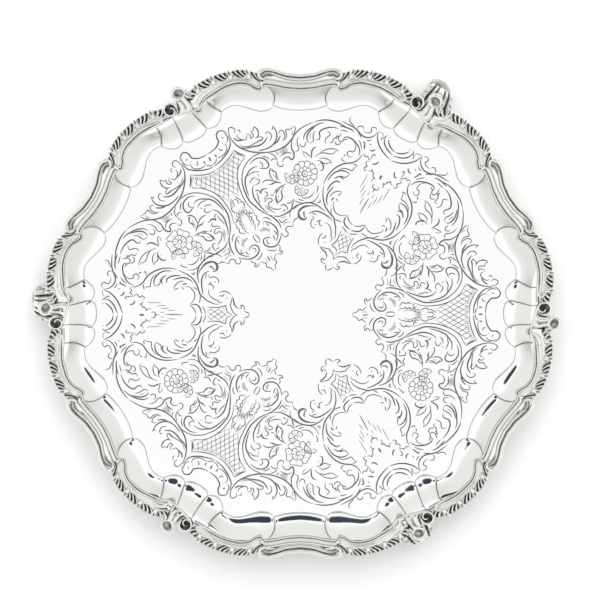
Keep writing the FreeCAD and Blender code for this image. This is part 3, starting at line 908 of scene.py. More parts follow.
def all_cuts():
    """Every cut of the engraving in the plate's frame, with its width."""
    cartouche = read_cuts(CARTOUCHE + SCROLL_LEAVES, CARTOUCHE_MIDDLE)
    cartouche += hatch(np.array(BAND_SHADE, float), 0.8)
    shell = read_cuts(SHELL_FRAME, SHELL_MIDDLE)
    flower = read_cuts(FLOWER_FRAME, FLOWER_MIDDLE)
    above_cartouche = lattice(WEDGE, 3.7, 0.62)
    above_cartouche += hatch(both_sides(WEDGE_SHADE), 1.3) + hatch(both_sides(DROP_SHADE), 0.75)
    below_shell = lattice(PANEL, 3.4, 0.7)
    cuts = []

    def place(drawing, axis, mirrored=False, step=CUT_STEP):
        cuts.extend((width, placed(spline(points, step), axis, mirrored)) for width, points in drawing)

    for axis in range(0, 360, 120):
        for mirrored in (False, True):
            place(cartouche, axis, mirrored)
            place(shell, axis + 60, mirrored)
            if mirrored:
                place(flower + rose(), axis + 30, mirrored)
            else:
                place(flower + daisy(), axis + 90)
        place(above_cartouche, axis, step=HATCH_STEP)
        place(below_shell, axis + 60, step=HATCH_STEP)
    return cuts


def hand_drawn(points):
    """Moves points by the small unevenness of work done by hand."""
    x, y = points[:, 0], points[:, 1]
    dx = 0.35 * np.sin(x / 9.1 + 1.3) * np.cos(y / 11.7) + 0.2 * np.sin(y / 4.3 + x / 7.9)
    dy = 0.35 * np.cos(x / 10.3) * np.sin(y / 8.7 + 0.4) + 0.2 * np.cos(x / 4.9 - y / 6.1)
    return points * [1, ENGRAVED_STRETCH] + np.stack([dx, dy], -1) + ENGRAVED_MIDDLE


def cut_edges(width, line):
    """Both edges of one cut and its half widths: thin at the ends, full in the middle."""
    ahead = np.gradient(line, axis=0)
    ahead /= np.maximum(np.linalg.norm(ahead, axis=1, keepdims=True), 1e-9)
    side = ahead[:, ::-1] * [-1, 1]
    t = np.linspace(0, 1, len(line))
    half = width / 2 * np.sin(np.pi * t) ** 0.4
    half[0] = half[-1] = 0.0
    return line + side * half[:, None], line - side * half[:, None], half


def engraved_sheet(outline):
    """Triangles of the flat with every cut sunk into it: the points, how far each lies inside
    a cut's edge, the faces, and which of them belong to a cut."""
    flat = [outline]
    edges = [(k, (k + 1) % len(outline)) for k in range(len(outline))]
    start = len(outline)
    middles, runs, halves = [], [], []
    for width, line in all_cuts():
        line = hand_drawn(line)
        left, right, half = cut_edges(width, line)
        for run in (left, line, right):
            flat.append(run)
            edges += [(start + k, start + k + 1) for k in range(len(run) - 1)]
            start += len(run)
        middles.append((line[:-1] + line[1:]) / 2)
        runs.append(np.diff(line, axis=0))
        halves.append(np.stack([half[:-1], half[1:]], -1))
    points = [Vector(p) for p in np.concatenate(flat).tolist()]
    made = delaunay_2d_cdt(points, edges, [], 1, 1e-4, False)
    verts, faces = np.array([tuple(v) for v in made[0]]), made[2]
    middles, runs, halves = np.concatenate(middles), np.concatenate(runs), np.concatenate(halves)
    lengths = np.maximum(np.linalg.norm(runs, axis=1), 1e-6)
    tree = KDTree(len(middles))
    for k, (x, y) in enumerate(middles.tolist()):
        tree.insert((x, y, 0), k)
    tree.balance()
    reach = (max(CUT_WIDTH.values()) + lengths.max()) / 2
    aheads = runs / lengths[:, None]
    pieces = list(zip(middles.tolist(), aheads.tolist(), lengths.tolist(), halves.tolist()))

    def depth(x, y):
        """How far inside the nearest cut's edge a point lies; less than nothing outside."""
        best = -1.0
        for _, k, _ in tree.find_range((x, y, 0), reach):
            (mx, my), (ax, ay), length, (h0, h1) = pieces[k]
            along = min(max((x - mx) * ax + (y - my) * ay, -length / 2), length / 2)
            gap = math.hypot(x - mx - along * ax, y - my - along * ay)
            best = max(best, h0 + (h1 - h0) * (along / length + 0.5) - gap)
        return best

    sunk = np.array([depth(x, y) for x, y in verts.tolist()])
    centres = np.array([verts[list(f)].mean(0) for f in faces])
    cut = np.array([depth(x, y) > 0 for x, y in centres.tolist()])
    cut &= np.array([sunk[list(f)].min() > -0.06 for f in faces])
    return verts, np.maximum(sunk, 0.0), faces, cut


# ---- border castings ----

RELIEF_WIDTH = 6.2           # radial width of the gadroons' relief
FANS = 4.25                  # pairs of a leaf and a bead along one gadroon casting
FAN_SHARE = 0.7              # leaf's share of its pair
LOBES = 3                    # lobes of one leaf
RELIEF_TOP = 3.6             # highest that the relief's own figures reach
ROLL_RADIUS = 1.2            # outer roll of a reeded casting
HOOK = (8.5, 170.4)          # where it turns in: degrees from the casting's middle, and radius
GADROON_ENDS = (3.3, 20.5)   # degrees from a shell's axis
REED_ENDS = (20.9, 39.1)
VOLUTE = (-5.0, 169.4)       # middle of a shell's scroll, as (clockwise, outward)
VOLUTE_SIZE = 4.6
HOOD = (5.2, 175.8)          # middle of its hood
HOOD_RADIUS = 4.4
SEAT_DEPTH = 0.7             # how far the castings' skirts reach into the brim


def at(r, degrees):
    """Point of the plan at a radius and a bearing."""
    a = math.radians(degrees)
    return r * math.cos(a), r * math.sin(a)


def upright(x, r, z):
    """Points on the first axis: x clockwise, r outward, z up."""
    x, r, z = np.broadcast_arrays(x, r, z)
    return np.stack([r, -x, z], -1)


def tube(path, radii, sides=12):
    """Round wire along a path as a grid of rings, with its darkness."""
    path = np.asarray(path, float)
    ahead = np.gradient(path, axis=0)
    ahead /= np.linalg.norm(ahead, axis=1, keepdims=True)
    side = np.cross(ahead, [0, 0, 1.0])
    side /= np.maximum(np.linalg.norm(side, axis=1, keepdims=True), 1e-6)
    up = np.cross(side, ahead)
    a = np.linspace(0, 2 * np.pi, sides, endpoint=False)
    spokes = side[:, None] * np.cos(a)[None, :, None] + up[:, None] * np.sin(a)[None, :, None]
    rings = path[:, None] + np.asarray(radii)[:, None, None] * spokes
    return rings, np.zeros(rings.shape[:2])


def level_path(plan, height):
    """Path at one height above the brim."""
    return np.column_stack([plan, np.full(len(plan), BRIM_TOP + height)])


def rail(angles, rows, height):
    """Sections of a border casting from its inner edge to its outer one. From the mm across,
    the width and the degrees, height gives the lift, the darkness and the outward bulge."""
    s = np.linspace(0, 1, rows)
    A, S = np.meshgrid(angles, s, indexing="ij")
    inner = inner_r(A)
    width = edge_r(A) - inner
    lift, dark, bulge = height(S * width, width, A)
    r = inner + (width + bulge * S**3) * S
    top = polar(r, A, BRIM_TOP + lift)
    skirt_out = polar(r[:, -1:], A[:, -1:], BRIM_TOP - SEAT_DEPTH)
    drop = 0.1 + 0.55 * np.clip(lip_r(A[:, :1]) - r[:, :1], 0, None)
    skirt_in = polar(r[:, :1] + 0.5, A[:, :1], BRIM_TOP - drop)
    loops = np.concatenate([top, skirt_out, skirt_in], 1)
    # The skirts under the casting get painted shade
    return loops, np.concatenate([dark, np.full((len(angles), 2), 0.2)], 1)


def fan_relief(q, u):
    """Leaning leaves and beads in turn: q from the inner side in mm, u counts the pairs.
    Gives the lift, the darkness and how full the outer edge is."""
    motif = np.floor(u)
    f = u - motif
    uneven = np.sin(12.9 * motif + 4.1)
    share = q / RELIEF_WIDTH
    p = (f - FAN_SHARE / 2) / (FAN_SHARE / 2) + 0.3 * (share - 0.5)
    fan = smooth(1 - np.abs(p), 0.0, 0.12)
    start = 0.5 + 1.4 * p**2 + 0.3 * uneven
    sweep = p * (1 + 0.1 * uneven) + 0.85 * (share - 0.5) + 0.25 * np.sin(np.pi * share)
    lobe = np.abs(np.cos(np.pi * LOBES * sweep / 2 + 0.4 * uneven))
    in_fan = smooth(q - start, 0.0, 0.8)
    # Painted shade inside the leaves, between their lobes, at their tips and in the beads' slits
    leaf_shade = 0.4 + 0.75 * bump_at(q, 3.1 + 0.6 * uneven, 2.9) * (1 - 0.4 * p**2)
    tips = bump_at(np.abs(np.sin(np.pi * LOBES * sweep)), 0.9, 0.4) * bump_at(q, 5.3, 0.6)
    fan_lift = 1.9 * (1 - in_fan) + (1.5 + 1.8 * lobe**0.7) * in_fan
    fan_dark = in_fan * (1 - lobe**1.5) * 1.25 * leaf_shade + 0.5 * tips + 0.3 * bump_at(q, start + 0.3, 0.3)
    g = (f - FAN_SHARE) / (1 - FAN_SHARE)
    ridge = np.clip(1 - (2 * g - 1) ** 2, 0, 1) ** 0.5
    slit = bump_at(g + 0.25 * (share - 0.5), 0.5, 0.13) * smooth(q, 3.0, 3.6)
    bead = 1 - fan
    lift = fan * fan_lift + bead * (1.9 + 1.6 * ridge - 0.9 * slit)
    dark = fan * fan_dark + bead * (0.9 * slit + 0.3 * (1 - ridge) ** 2)
    full = fan * lobe**0.7 + bead * (0.75 + 0.2 * ridge)
    return lift, np.clip(dark, 0, 1), full


def gadroon_height(mm, width, angles):
    """Two reeds, an open cove and the relief along the outer edge."""
    along = (np.abs(angles) - GADROON_ENDS[0]) / (GADROON_ENDS[1] - GADROON_ENDS[0])
    start = width - RELIEF_WIDTH
    reeds = 1.5 * bump_at(mm, 0.85, 0.8) + 1.2 * bump_at(mm, 2.7, 0.85)
    cove = 0.4 + 1.2 * smooth(mm, 3.6, np.maximum(start, 4.6)) ** 1.5
    q = mm - start
    lift_fan, dark_fan, full = fan_relief(q, along * FANS + 0.2)
    outer = smooth(q, -0.2, 0.6)
    lift = (reeds + cove) * (1 - outer) + lift_fan * outer
    round_off = np.sqrt(np.clip(1 - smooth(q, RELIEF_WIDTH - 1.5, RELIEF_WIDTH + 0.1) ** 2, 0.0, 1))
    lift = lift * (0.25 + 0.75 * round_off)
    # Painted shade in the grooves by the reeds, along the inner lip and at the neck by the reeded section
    groove_shade = 1.15 * bump_at(mm, 1.75, 0.42) + 0.45 * bump_at(mm, 3.7, 0.3)
    lip = 0.5 * np.exp(-((mm / 0.25) ** 2))
    neck = 0.5 * smooth(along, 0.95, 1.0) * smooth(mm, 3, 6)
    dark = np.clip(np.maximum(groove_shade * (1 - outer), dark_fan * outer) + lip + neck, 0, 1)
    return lift * GADROON_TOP / RELIEF_TOP, dark, 1.2 * (full - 0.7) * outer


def reed_height(mm, width, angles):
    """Reeds and coves across the band, with a hollow inside each hooked end of the outer roll."""
    from_edge = width - mm
    ridges = 1.5 * bump_at(mm, 0.9, 0.85) + 1.4 * bump_at(mm, 3.6, 1.5)
    ridges = ridges + 0.9 * bump_at(from_edge, 4.2, 1.1)
    side = (np.abs(angles - PITCH / 2) - HOOK[0]) * math.radians(CREST)
    away = np.hypot(np.minimum(side, 0) * 0.3 + np.maximum(side, 0), from_edge - (CREST - 2.8 - HOOK[1]))
    hollow = 1 - smooth(away, 1.4, 2.8)
    lift = ridges * (1 - hollow) + 0.45 + 0.4 * smooth(mm, 5.5, 8) - 0.3 * hollow
    # Painted shade in the grooves between the reeds, and painted shadow in the hollow inside each hooked
    # end
    inner_groove_shade = 1.1 * bump_at(mm, 1.95, 0.42) + 0.6 * bump_at(mm, 5.2, 0.3) + 0.5 * bump_at(mm, 0, 0.25)
    outer_groove_shade = 0.7 * bump_at(from_edge, 5.4, 0.36) + 1.15 * bump_at(from_edge, 2.6, 0.5)
    dark = inner_groove_shade + outer_groove_shade + 0.5 * hollow
    bulge = np.full_like(mm, -0.9)
    return np.maximum(lift, 0.05), np.clip(dark, 0, 1), bulge


def end_curl(side):
    """Reed that turns round the end of a gadroon section beside a shell."""
    # degrees from the shell's axis, and distance outwards from the border's inner edge
    stations = [
        (8.6, 0.9), (6.6, 0.9), (5.2, 1.5), (4.5, 3.4),
        (4.8, 5.6), (6.0, 6.7), (7.3, 5.9), (7.4, 4.4),
    ]
    plan = [at(float(inner_r(side * d)) + mm, side * d) for d, mm in stations]
    path = spline(np.array(plan), 0.5)
    t = np.linspace(0, 1, len(path))
    size = 0.8 * np.minimum(1, 0.2 + 6 * np.minimum(t, 1 - t))
    return tube(level_path(path, 1.5), size)


def reed_roll():
    """Roll along the outer edge of a reeded section, turning in round both ends."""
    a = np.linspace(REED_ENDS[0] + 1, REED_ENDS[1] - 1, 90)
    middle = polar(edge_r(a) - ROLL_RADIUS - 0.1, a, 0)[:, :2]
    ends = []
    for side in (-1, 1):
        axis = PITCH / 2 + side * HOOK[0]
        turn = np.radians(axis + side * np.linspace(22, 225, 30))
        size = np.linspace(3.6, 2.7, 30)[:, None]
        ends.append(at(HOOK[1], axis) + size * np.stack([np.cos(turn), np.sin(turn)], -1))
    path = np.vstack([ends[0][::-1], middle, ends[1]])
    path = spline(path[::3], 0.5)
    t = np.linspace(0, 1, len(path))
    size = ROLL_RADIUS * np.minimum(1, 0.35 + 9 * np.minimum(t, 1 - t))
    return tube(level_path(path, REED_TOP - ROLL_RADIUS), size)


def evenly(stations, count):
    """Smooth line through (x, r) stations, as points the same distance apart."""
    line = spline(np.array(stations, float), 0.5)
    run = np.concatenate([[0], np.cumsum(np.linalg.norm(np.diff(line, axis=0), axis=1))])
    t = np.linspace(0, 1, count) * run[-1]
    return np.stack([np.interp(t, run, line[:, k]) for k in range(2)], -1)


def thick_patch(left, right, height, rows=36, cols=20):
    """Relief between two edges, each given as (x, r) points from the inner end outwards.
    T runs along it and U across; height gives the lift and the darkness."""
    L, R = evenly(left, rows), evenly(right, rows)
    T, U = np.meshgrid(np.linspace(0, 1, rows), np.linspace(0, 1, cols), indexing="ij")
    x = L[:, None, 0] + (R[:, None, 0] - L[:, None, 0]) * U
    r = L[:, None, 1] + (R[:, None, 1] - L[:, None, 1]) * U
    lift, dark = height(T, U)
    top = upright(x, r, BRIM_TOP + lift)
    under = upright(x[:, [-1, 0]], r[:, [-1, 0]], BRIM_TOP - 0.6)
    # The underside gets painted shade
    return np.concatenate([top, under], 1), np.concatenate([dark, np.full((rows, 2), 0.3)], 1)


def shell_body(T, U):
    """Fluted body sweeping up into the hood."""
    edge = np.clip(1 - (2 * U - 1) ** 2, 0, 1) ** 0.4
    flute = 0.5 + 0.5 * np.cos(2 * np.pi * 2.2 * (U + 0.35 * T**2) + 0.9)
    fade = smooth(T, 0.1, 0.4) * (1 - smooth(T, 0.75, 0.95))
    ends = np.sqrt(np.clip(1 - (2 * T - 1) ** 8, 0, 1))
    lift = (1.3 + 1.2 * T) * edge * ends * (1 - 0.45 * smooth(T, 0.7, 1.0)) + 0.5 * (flute - 0.5) * fade
    # Painted shade in the flutes, along the edges and at the inner end
    dark = 0.75 * (1 - flute) ** 4 * fade + 0.85 * (1 - edge) ** 1.3 + 0.5 * bump_at(T, 0, 0.05)
    return lift, np.clip(dark, 0, 1)


def hood_cup(T, U):
    """Hollow of the hood: painted shade makes it dark in the middle and bright towards its edge."""
    away = np.sqrt((2 * U - 1.1) ** 2 + (1.7 * T - 1.1) ** 2)
    mottle = 0.75 + 0.25 * np.sin(9 * U + 4 * T) * np.sin(7 * T + 1)
    return 1.0 + 1.6 * smooth(away, 0.2, 1.0), mottle * (1 - smooth(away, 0.5, 1.05))


def leaf_tip(T, U):
    """Small leaf with a line down its middle."""
    edge = np.clip(1 - (2 * U - 1) ** 2, 0, 1) ** 0.5
    ends = np.sqrt(np.clip(1 - (2 * T - 1) ** 4, 0, 1))
    vein = bump_at(U, 0.5, 0.12)
    lift = (0.9 + 1.9 * edge) * ends - 0.5 * vein * ends
    # Painted shade in the vein and along the edges
    return lift, np.clip(0.75 * vein + 0.7 * (1 - edge) ** 2, 0, 1)


def around(middle, radius, turn, height):
    """Points round a middle on the first axis, at a height above the brim."""
    x, r = middle[0] + radius * np.cos(turn), middle[1] + radius * np.sin(turn)
    return upright(x, r, BRIM_TOP + height)


def volute_dish():
    """Hollow dish inside the scroll, from its skirt to its middle, with painted shade that deepens towards
    the middle.
    """
    turn = np.linspace(0, 2 * np.pi, 24, endpoint=False)
    steps = [(1.0, -0.5, 0.3), (1.0, 1.3, 0.6), (0.8, 0.5, 1.0), (0.3, 0.3, 1.0), (0.02, 0.3, 1.0)]
    rings = np.array([around(VOLUTE, VOLUTE_SIZE * share, turn, lift) for share, lift, _ in steps])
    return rings, np.repeat([[shade] for _, _, shade in steps], 24, 1)


def volute_coil():
    """Roll of the scroll, which closes in towards its end."""
    t = np.linspace(0, 1, 70)
    radius = (VOLUTE_SIZE - 0.3) * (1 - 0.86 * smooth(t, 0.62, 1.0))
    coil = around(VOLUTE, radius, np.radians(-30 + 455 * t), 2.2)
    return tube(coil, (0.95 - 0.45 * t) * np.minimum(1, 12 * t + 0.15))


def tapered(t, blunt, power):
    """Share of a roll's radius along it: full in the middle, thin at both ends."""
    return np.sin(np.pi * np.clip(t, blunt, 1 - blunt)) ** power


def scroll_shell():
    """Scroll, fluted body, hood and leaf of one corner, as closed strips on the first axis."""
    body = thick_patch(
        [(-8.6, 165.4), (-6.6, 163.7), (-1.2, 165.4), (0.2, 169.0), (0.9, 172.4), (2.8, 175.2)],
        [(8.4, 159.6), (9.9, 163.5), (9.8, 167.5), (9.4, 170.5), (9.4, 173.0), (7.6, 175.4)],
        shell_body,
    )
    sill = [(-8.2, 166.2), (-5.5, 164.6), (-1.5, 163.4), (3, 161.9), (7.6, 160.3), (10.2, 160.9)]
    t = np.linspace(0, 1, 30)
    x, r = (np.interp(t * 5, range(6), line) for line in np.transpose(sill))
    inner_reed = tube(upright(x, r, BRIM_TOP + 1.2), 0.95 * tapered(t, 0.03, 0.3))
    x, r = HOOD
    cup = thick_patch(
        [(x - 1.2, r - 4.2), (x - 4.6, r), (x - 2.6, r + 4.0)],
        [(x + 1.6, r - 4.2), (x + 4.9, r), (x + 2.6, r + 4.0)],
        hood_cup,
        18,
        16,
    )
    t = np.linspace(0, 1, 44)
    hood = around(HOOD, HOOD_RADIUS, np.radians(200 - 225 * t), 2.2)
    hood_rim = tube(hood, 1.45 * tapered(t, 0.04, 0.5))
    leaf = thick_patch(
        [(8.0, 175.2), (7.8, 172.2), (9.4, 169.4), (11.2, 168.6)],
        [(10.6, 176.4), (12.6, 173.6), (13.2, 171.0), (12.0, 168.7)],
        leaf_tip,
        20,
        12,
    )
    return [body, volute_dish(), volute_coil(), inner_reed, cup, hood_rim, leaf]


# ---- feet ----

# Middle line of the leg as (outward, height), with its half width and thickness at each point
FOOT_PATH = [
    (171, 34.3), (177.5, 33.2), (182.2, 29.0), (183.0, 23.0), (180.6, 17.0), (177.8, 12.0),
    (176.8, 7.2), (179.2, 3.2), (183.2, 1.9), (186.9, 4.0), (186.6, 7.4), (183.8, 8.2),
]
FOOT_HALF = [11.8, 11.4, 9.8, 8.3, 7.5, 7.2, 7.2, 7.4, 7.6, 7.6, 7.3, 7.0]
FOOT_THICK = [1.8, 2.4, 3.0, 3.2, 3.1, 2.9, 2.7, 2.2, 1.9, 1.9, 1.6, 1.2]
TIP_CURVE = 3.4      # how far the toe's corners lie behind its middle


def foot_section(u, thick):
    """Outer face of the leg across its width, where u runs from -1 to 1: a middle rib, a
    narrower one on each side of it and rolled edges. Gives the height and the darkness."""
    away = np.abs(u)
    ribs = [
        height * np.clip(1 - ((away - middle) / half) ** 2, 0, 1) ** 0.5
        for height, middle, half in ((1.15, 0.0, 0.24), (0.8, 0.46, 0.14), (1.0, 0.84, 0.17))
    ]
    # Painted shade in the grooves between the ribs and along the rolled edges
    dark = 1.2 * bump_at(away, 0.29, 0.09) + 1.3 * bump_at(away, 0.635, 0.09) + 0.3 * bump_at(away, 1, 0.05)
    return thick + np.max(ribs, 0) - 0.5, np.clip(dark, 0, 1)


def foot_loops():
    """Closed sections down the leg on the first axis, with their darkness."""
    path = spline(np.array(FOOT_PATH, float), 0.9)
    share = np.linspace(0, len(FOOT_PATH) - 1, len(path))
    half = np.interp(share, range(len(FOOT_HALF)), FOOT_HALF)[:, None]
    thick = 0.5 * np.interp(share, range(len(FOOT_THICK)), FOOT_THICK)[:, None]
    ahead = np.gradient(path, axis=0)
    ahead /= np.linalg.norm(ahead, axis=1, keepdims=True)
    out = np.stack([-ahead[:, 1], ahead[:, 0]], -1)[:, None]
    u = np.linspace(-1, 1, 45)[None, :]
    face, dark = foot_section(u, thick)
    nicks = bump_at(np.abs(np.sin(path[:, :1] / 1.15 + 3 * np.abs(u))), 0, 0.4)
    wing = smooth(np.abs(u), 0.72, 0.8) * smooth(half, 7.5, 9.5)
    face = face - 0.35 * nicks * wing
    # Painted shade in the nicks along the wings
    dark = np.maximum(dark, 0.8 * wing * nicks)
    tip = TIP_CURVE * smooth(share, 6.5, 9.0)[:, None] * u**2

    def skin(offset):
        side = path[:, None] + out * offset[..., None]
        return upright(half * u, side[..., 0] - tip, np.maximum(side[..., 1], 0.0))

    back = skin(np.broadcast_to(-thick, face.shape))[:, ::-1]
    # The back of the leg gets painted shade
    return np.concatenate([skin(face), back], 1), np.concatenate([dark, np.full(dark.shape, 0.35)], 1)


# ---- operators for the castings ----

def repeat_piece(piece, label, turns, family, middle=0.0):
    """Turned copies of a piece, each in the place of the family's node nearest its middle."""
    pattern = piece.data.copy()
    for k, degrees in enumerate(turns):
        one = piece
        if k > 0:
            one = piece.copy()
            one.data = pattern.copy()
            bpy.context.scene.collection.objects.link(one)
        one.name = f"{label}_{k + 1}"
        one.data.transform(Matrix.Rotation(math.radians(degrees), 4, "Z"))
        stand_for(one, node_near(family, degrees + middle))
    bpy.data.meshes.remove(pattern)


def node_near(prefix, degrees):
    """Name of the node of a family whose middle lies nearest an angle."""
    def gap(name):
        lo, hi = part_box(name)
        here = math.degrees(math.atan2(lo.y + hi.y, lo.x + hi.x))
        return abs((here - degrees + 180) % 360 - 180)

    return min((n for n in frame["nodes"] if n.startswith(prefix)), key=gap)


class SALVER_OT_border(bpy.types.Operator):
    """Cast the border: gadroon sections, reeded sections and scroll shells"""

    bl_idname = "salver.border"
    bl_label = "Border castings"

    def execute(self, context):
        look = context.scene.salver_look
        turns = [k * PITCH for k in range(REPEATS)]

        def cast(label, grids, family, middle):
            piece = join_grids(label, grids)
            piece.data.materials.append(cast_silver(look))
            piece.data.set_sharp_from_angle(angle=math.radians(60))
            repeat_piece(piece, label, turns, family, middle)

        for side, label in ((1, "gadroon_left"), (-1, "gadroon_right")):
            angles = side * np.linspace(*GADROON_ENDS, look.border_steps)[::side]
            grids = [rail(angles, 60, gadroon_height), end_curl(side)]
            cast(label, grids, "gadroon_border", side * sum(GADROON_ENDS) / 2)
        angles = np.linspace(*REED_ENDS, look.border_steps)
        cast("reeded", [rail(angles, 50, reed_height), reed_roll()], "reeded_border", PITCH / 2)
        cast("shell", scroll_shell(), "scroll_shell", 0)
        return {"FINISHED"}


class SALVER_OT_feet(bpy.types.Operator):
    """Cast the three scroll feet"""

    bl_idname = "salver.feet"
    bl_label = "Feet"

    def execute(self, context):
        piece = join_grids("foot", [foot_loops()])
        piece.data.materials.append(cast_silver(context.scene.salver_look))
        piece.data.set_sharp_from_angle(angle=math.radians(50))
        repeat_piece(piece, "scroll_foot", FOOT_TURNS, "foot")
        return {"FINISHED"}


# ---- stage ----

# Colour of the sky from straight below (0) to straight overhead (1)
SKY = (
    (0.0, (0.70, 0.70, 0.69)),
    (0.5, (0.26, 0.26, 0.256)),
    (0.535, (0.46, 0.46, 0.45)),
    (0.6, (0.56, 0.56, 0.545)),
    (0.67, (0.64, 0.64, 0.62)),
    (0.77, (0.69, 0.69, 0.668)),
    (0.87, (0.71, 0.71, 0.692)),
    (0.92, (0.80, 0.803, 0.80)),
    (0.955, (0.90, 0.90, 0.90)),
    (0.978, (0.86, 0.865, 0.87)),
    (0.99, (0.82, 0.83, 0.848)),
)
SKY_STRENGTH = 1.2
# Dark round things over the salver: direction, and degrees out to the soft edge's end and start
DARK_PATCHES = (
    ((0, 0.19, 0.98), 11.0, 9.4),
    ((-0.31, 0.12, 0.95), 7.0, 5.0),
    ((0.31, 0.15, 0.94), 6.5, 4.5),
)
PATCH_COLOUR = (0.035, 0.045, 0.06, 1)
FLOOR_HALF = 14.0            # metres
FLOOR_DROP = 0.0002
SOFTBOX_SIZE = 2.2
SOFTBOX_PLACE = (0.0, 1.3, 2.3)
SENSOR = 36.0                # camera's sensor width in mm


def patch_mask(tree, way, direction, outer_degrees, inner_degrees):
    """One within a round patch of sky, nothing outside it, with a soft edge."""
    toward = add_node(tree, "VectorMath", {1: Vector(direction).normalized()}, operation="DOT_PRODUCT")
    tree.links.new(way, toward.inputs[0])
    ends = {
        "From Min": math.cos(math.radians(outer_degrees)),
        "From Max": math.cos(math.radians(inner_degrees)),
    }
    edge = add_node(tree, "MapRange", ends, interpolation_type="SMOOTHSTEP")
    tree.links.new(toward.outputs["Value"], edge.inputs["Value"])
    return edge.outputs["Result"]


def world_light():
    """White studio tent: bright overhead, greyer towards the horizon, with dark patches."""
    world = bpy.data.worlds.new("Studio tent")
    bpy.context.scene.world = world
    world.use_nodes = True
    tree = world.node_tree
    link = tree.links.new
    way = add_node(tree, "TexCoord").outputs["Generated"]
    split = add_node(tree, "SeparateXYZ")
    link(way, split.inputs["Vector"])
    half = add_node(tree, "Math", {1: 0.5, 2: 0.5}, operation="MULTIPLY_ADD")
    link(split.outputs["Z"], half.inputs[0])
    ramp = add_node(tree, "ValToRGB")
    stops = ramp.color_ramp.elements
    stops.remove(stops[1])
    for k, (position, shade) in enumerate(SKY):
        stop = stops[0] if k == 0 else stops.new(position)
        stop.position = position
        stop.color = (*shade, 1)
    link(half.outputs["Value"], ramp.inputs["Fac"])
    sky = ramp.outputs["Color"]
    for direction, outer, inner in DARK_PATCHES:
        mix = add_node(tree, "Mix", {7: PATCH_COLOUR}, data_type="RGBA")
        link(patch_mask(tree, way, direction, outer, inner), mix.inputs["Factor"])
        link(sky, mix.inputs[6])
        sky = mix.outputs[2]
    back = tree.nodes["Background"]
    link(sky, back.inputs["Color"])
    back.inputs["Strength"].default_value = SKY_STRENGTH


def paper_floor():
    half = FLOOR_HALF
    mesh = bpy.data.meshes.new("floor")
    corners = [(-half, -half, 0), (half, -half, 0), (half, half, 0), (-half, half, 0)]
    mesh.from_pydata(corners, [], [(0, 1, 2, 3)])
    floor = bpy.data.objects.new("floor", mesh)
    floor.location.z = -FLOOR_DROP
    bpy.context.scene.collection.objects.link(floor)
    paper = bpy.data.materials.new("White paper")
    paper.use_nodes = True
    tree = paper.node_tree
    shader = tree.nodes["Principled BSDF"]
    shader.inputs["Roughness"].default_value = 0.9
    grain = add_node(tree, "TexNoise", {"Scale": 500.0})
    tone = add_node(tree, "MapRange", {"To Min": 0.90, "To Max": 0.94})
    tree.links.new(grain.outputs["Fac"], tone.inputs["Value"])
    tree.links.new(tone.outputs["Result"], shader.inputs["Base Color"])
    mesh.materials.append(paper)


def softbox(power):
    """Overhead light for the shadow; the tent is what the silver mirrors."""
    lamp = bpy.data.lights.new("Overhead softbox", "AREA")
    lamp.energy = power
    lamp.shape = "SQUARE"
    lamp.size = SOFTBOX_SIZE
    key = bpy.data.objects.new("Overhead softbox", lamp)
    bpy.context.scene.collection.objects.link(key)
    key.location = SOFTBOX_PLACE
    aim(key, (0, 0, 0.02))
    key.visible_glossy = False


def overhead_camera(look):
    tilt = math.radians(look.camera_tilt)
    lens = bpy.data.cameras.new("Camera")
    camera = bpy.data.objects.new("Camera", lens)
    bpy.context.scene.collection.objects.link(camera)
    up = Vector((0, math.cos(tilt), -math.sin(tilt)))
    back = Vector((0, math.sin(tilt), math.cos(tilt)))
    target = Vector((0, 0, FLAT_TOP * MM)) + up * look.frame_lift
    camera.matrix_world = Matrix((Vector((1, 0, 0)), up, back)).transposed().to_4x4()
    camera.location = target + back * look.camera_distance
    lens.sensor_width = SENSOR
    lens.lens = SENSOR * look.camera_distance / look.frame_width
    bpy.context.scene.camera = camera


def aim(thing, target):
    """Points a light at a place."""
    thing.rotation_mode = "QUATERNION"
    way = Vector(target) - thing.location
    thing.rotation_quaternion = way.to_track_quat("-Z", "Y")


class SALVER_OT_stage(bpy.types.Operator):
    """Set up the floor, the studio light and the camera"""

    bl_idname = "salver.stage"
    bl_label = "Stage"

    def execute(self, context):
        look = context.scene.salver_look
        world_light()
        paper_floor()
        softbox(look.light_power)
        overhead_camera(look)
        context.scene.view_settings.view_transform = "Standard"
        return {"FINISHED"}


# ---- settings, panel and registration ----

def colour_setting(name, description, default):
    return FloatVectorProperty(
        name=name, description=description, default=default, subtype="COLOR", min=0, max=1
    )


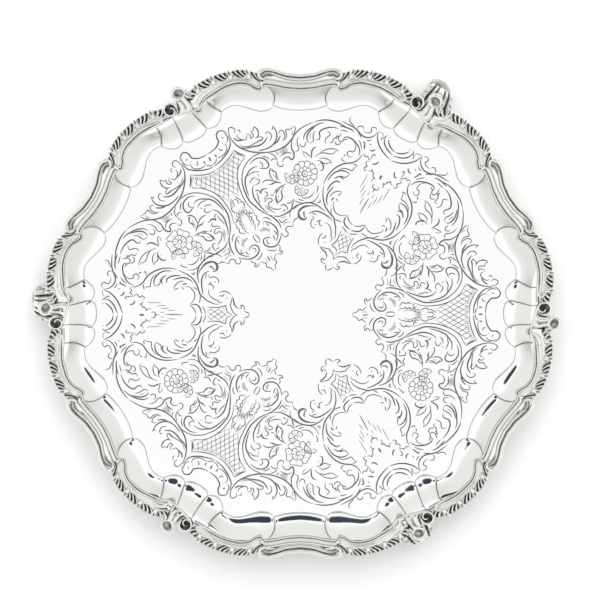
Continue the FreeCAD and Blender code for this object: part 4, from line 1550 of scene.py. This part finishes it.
class SalverLook(bpy.types.PropertyGroup):
    sheet_colour: colour_setting("Sheet colour", "Polished sheet silver", (0.97, 0.97, 0.965))
    cast_colour: colour_setting("Cast colour", "Polished cast silver", (0.93, 0.925, 0.90))
    # Colour of the cuts: oxide in them, deepened with painted shade so the grooves read dark
    cut_colour: colour_setting("Cut colour", "Oxide in the engraved cuts", (0.32, 0.32, 0.328))
    # Colour of the painted shade in the creases, hollows and undersides
    recess_shade_colour: colour_setting("Recess colour", "Dark oxide in the recesses", (0.03, 0.03, 0.033))
    bouge_rows: IntProperty(
        name="Bouge rows", description="Rows of faces from the flat to the lip", default=44, min=12
    )
    border_steps: IntProperty(
        name="Border steps", description="Sections along each border casting", default=190, min=24
    )
    light_power: FloatProperty(
        name="Light power", description="Power of the overhead softbox", default=44.0, min=0, unit="POWER"
    )
    camera_tilt: FloatProperty(
        name="Camera tilt", description="Camera's lean from straight overhead, in degrees", default=11.0
    )
    camera_distance: FloatProperty(
        name="Camera distance", description="Camera to the flat", default=2.8, unit="LENGTH"
    )
    frame_width: FloatProperty(
        name="Frame width", description="Width seen at the flat", default=0.417, unit="LENGTH"
    )
    frame_lift: FloatProperty(
        name="Frame lift",
        description="Height of the frame's middle above the plate's middle",
        default=0.0092,
        unit="LENGTH",
    )


class SALVER_PT_panel(bpy.types.Panel):
    bl_idname = "SALVER_PT_panel"
    bl_label = "Silver salver"
    bl_space_type = "VIEW_3D"
    bl_region_type = "UI"
    bl_category = "Salver"

    def draw(self, context):
        for operator in OPERATORS:
            self.layout.operator(operator.bl_idname)
        for name in SalverLook.__annotations__:
            self.layout.prop(context.scene.salver_look, name)


OPERATORS = (SALVER_OT_plate, SALVER_OT_border, SALVER_OT_feet, SALVER_OT_stage)
CLASSES = (SalverLook, *OPERATORS, SALVER_PT_panel)


def register():
    for made in CLASSES:
        bpy.utils.register_class(made)
    bpy.types.Scene.salver_look = PointerProperty(type=SalverLook)


def unregister():
    del bpy.types.Scene.salver_look
    for made in reversed(CLASSES):
        bpy.utils.unregister_class(made)


def main():
    register()
    bpy.ops.salver.plate()
    bpy.ops.salver.border()
    bpy.ops.salver.feet()
    bpy.ops.salver.stage()


if __name__ == "__main__":
    main()
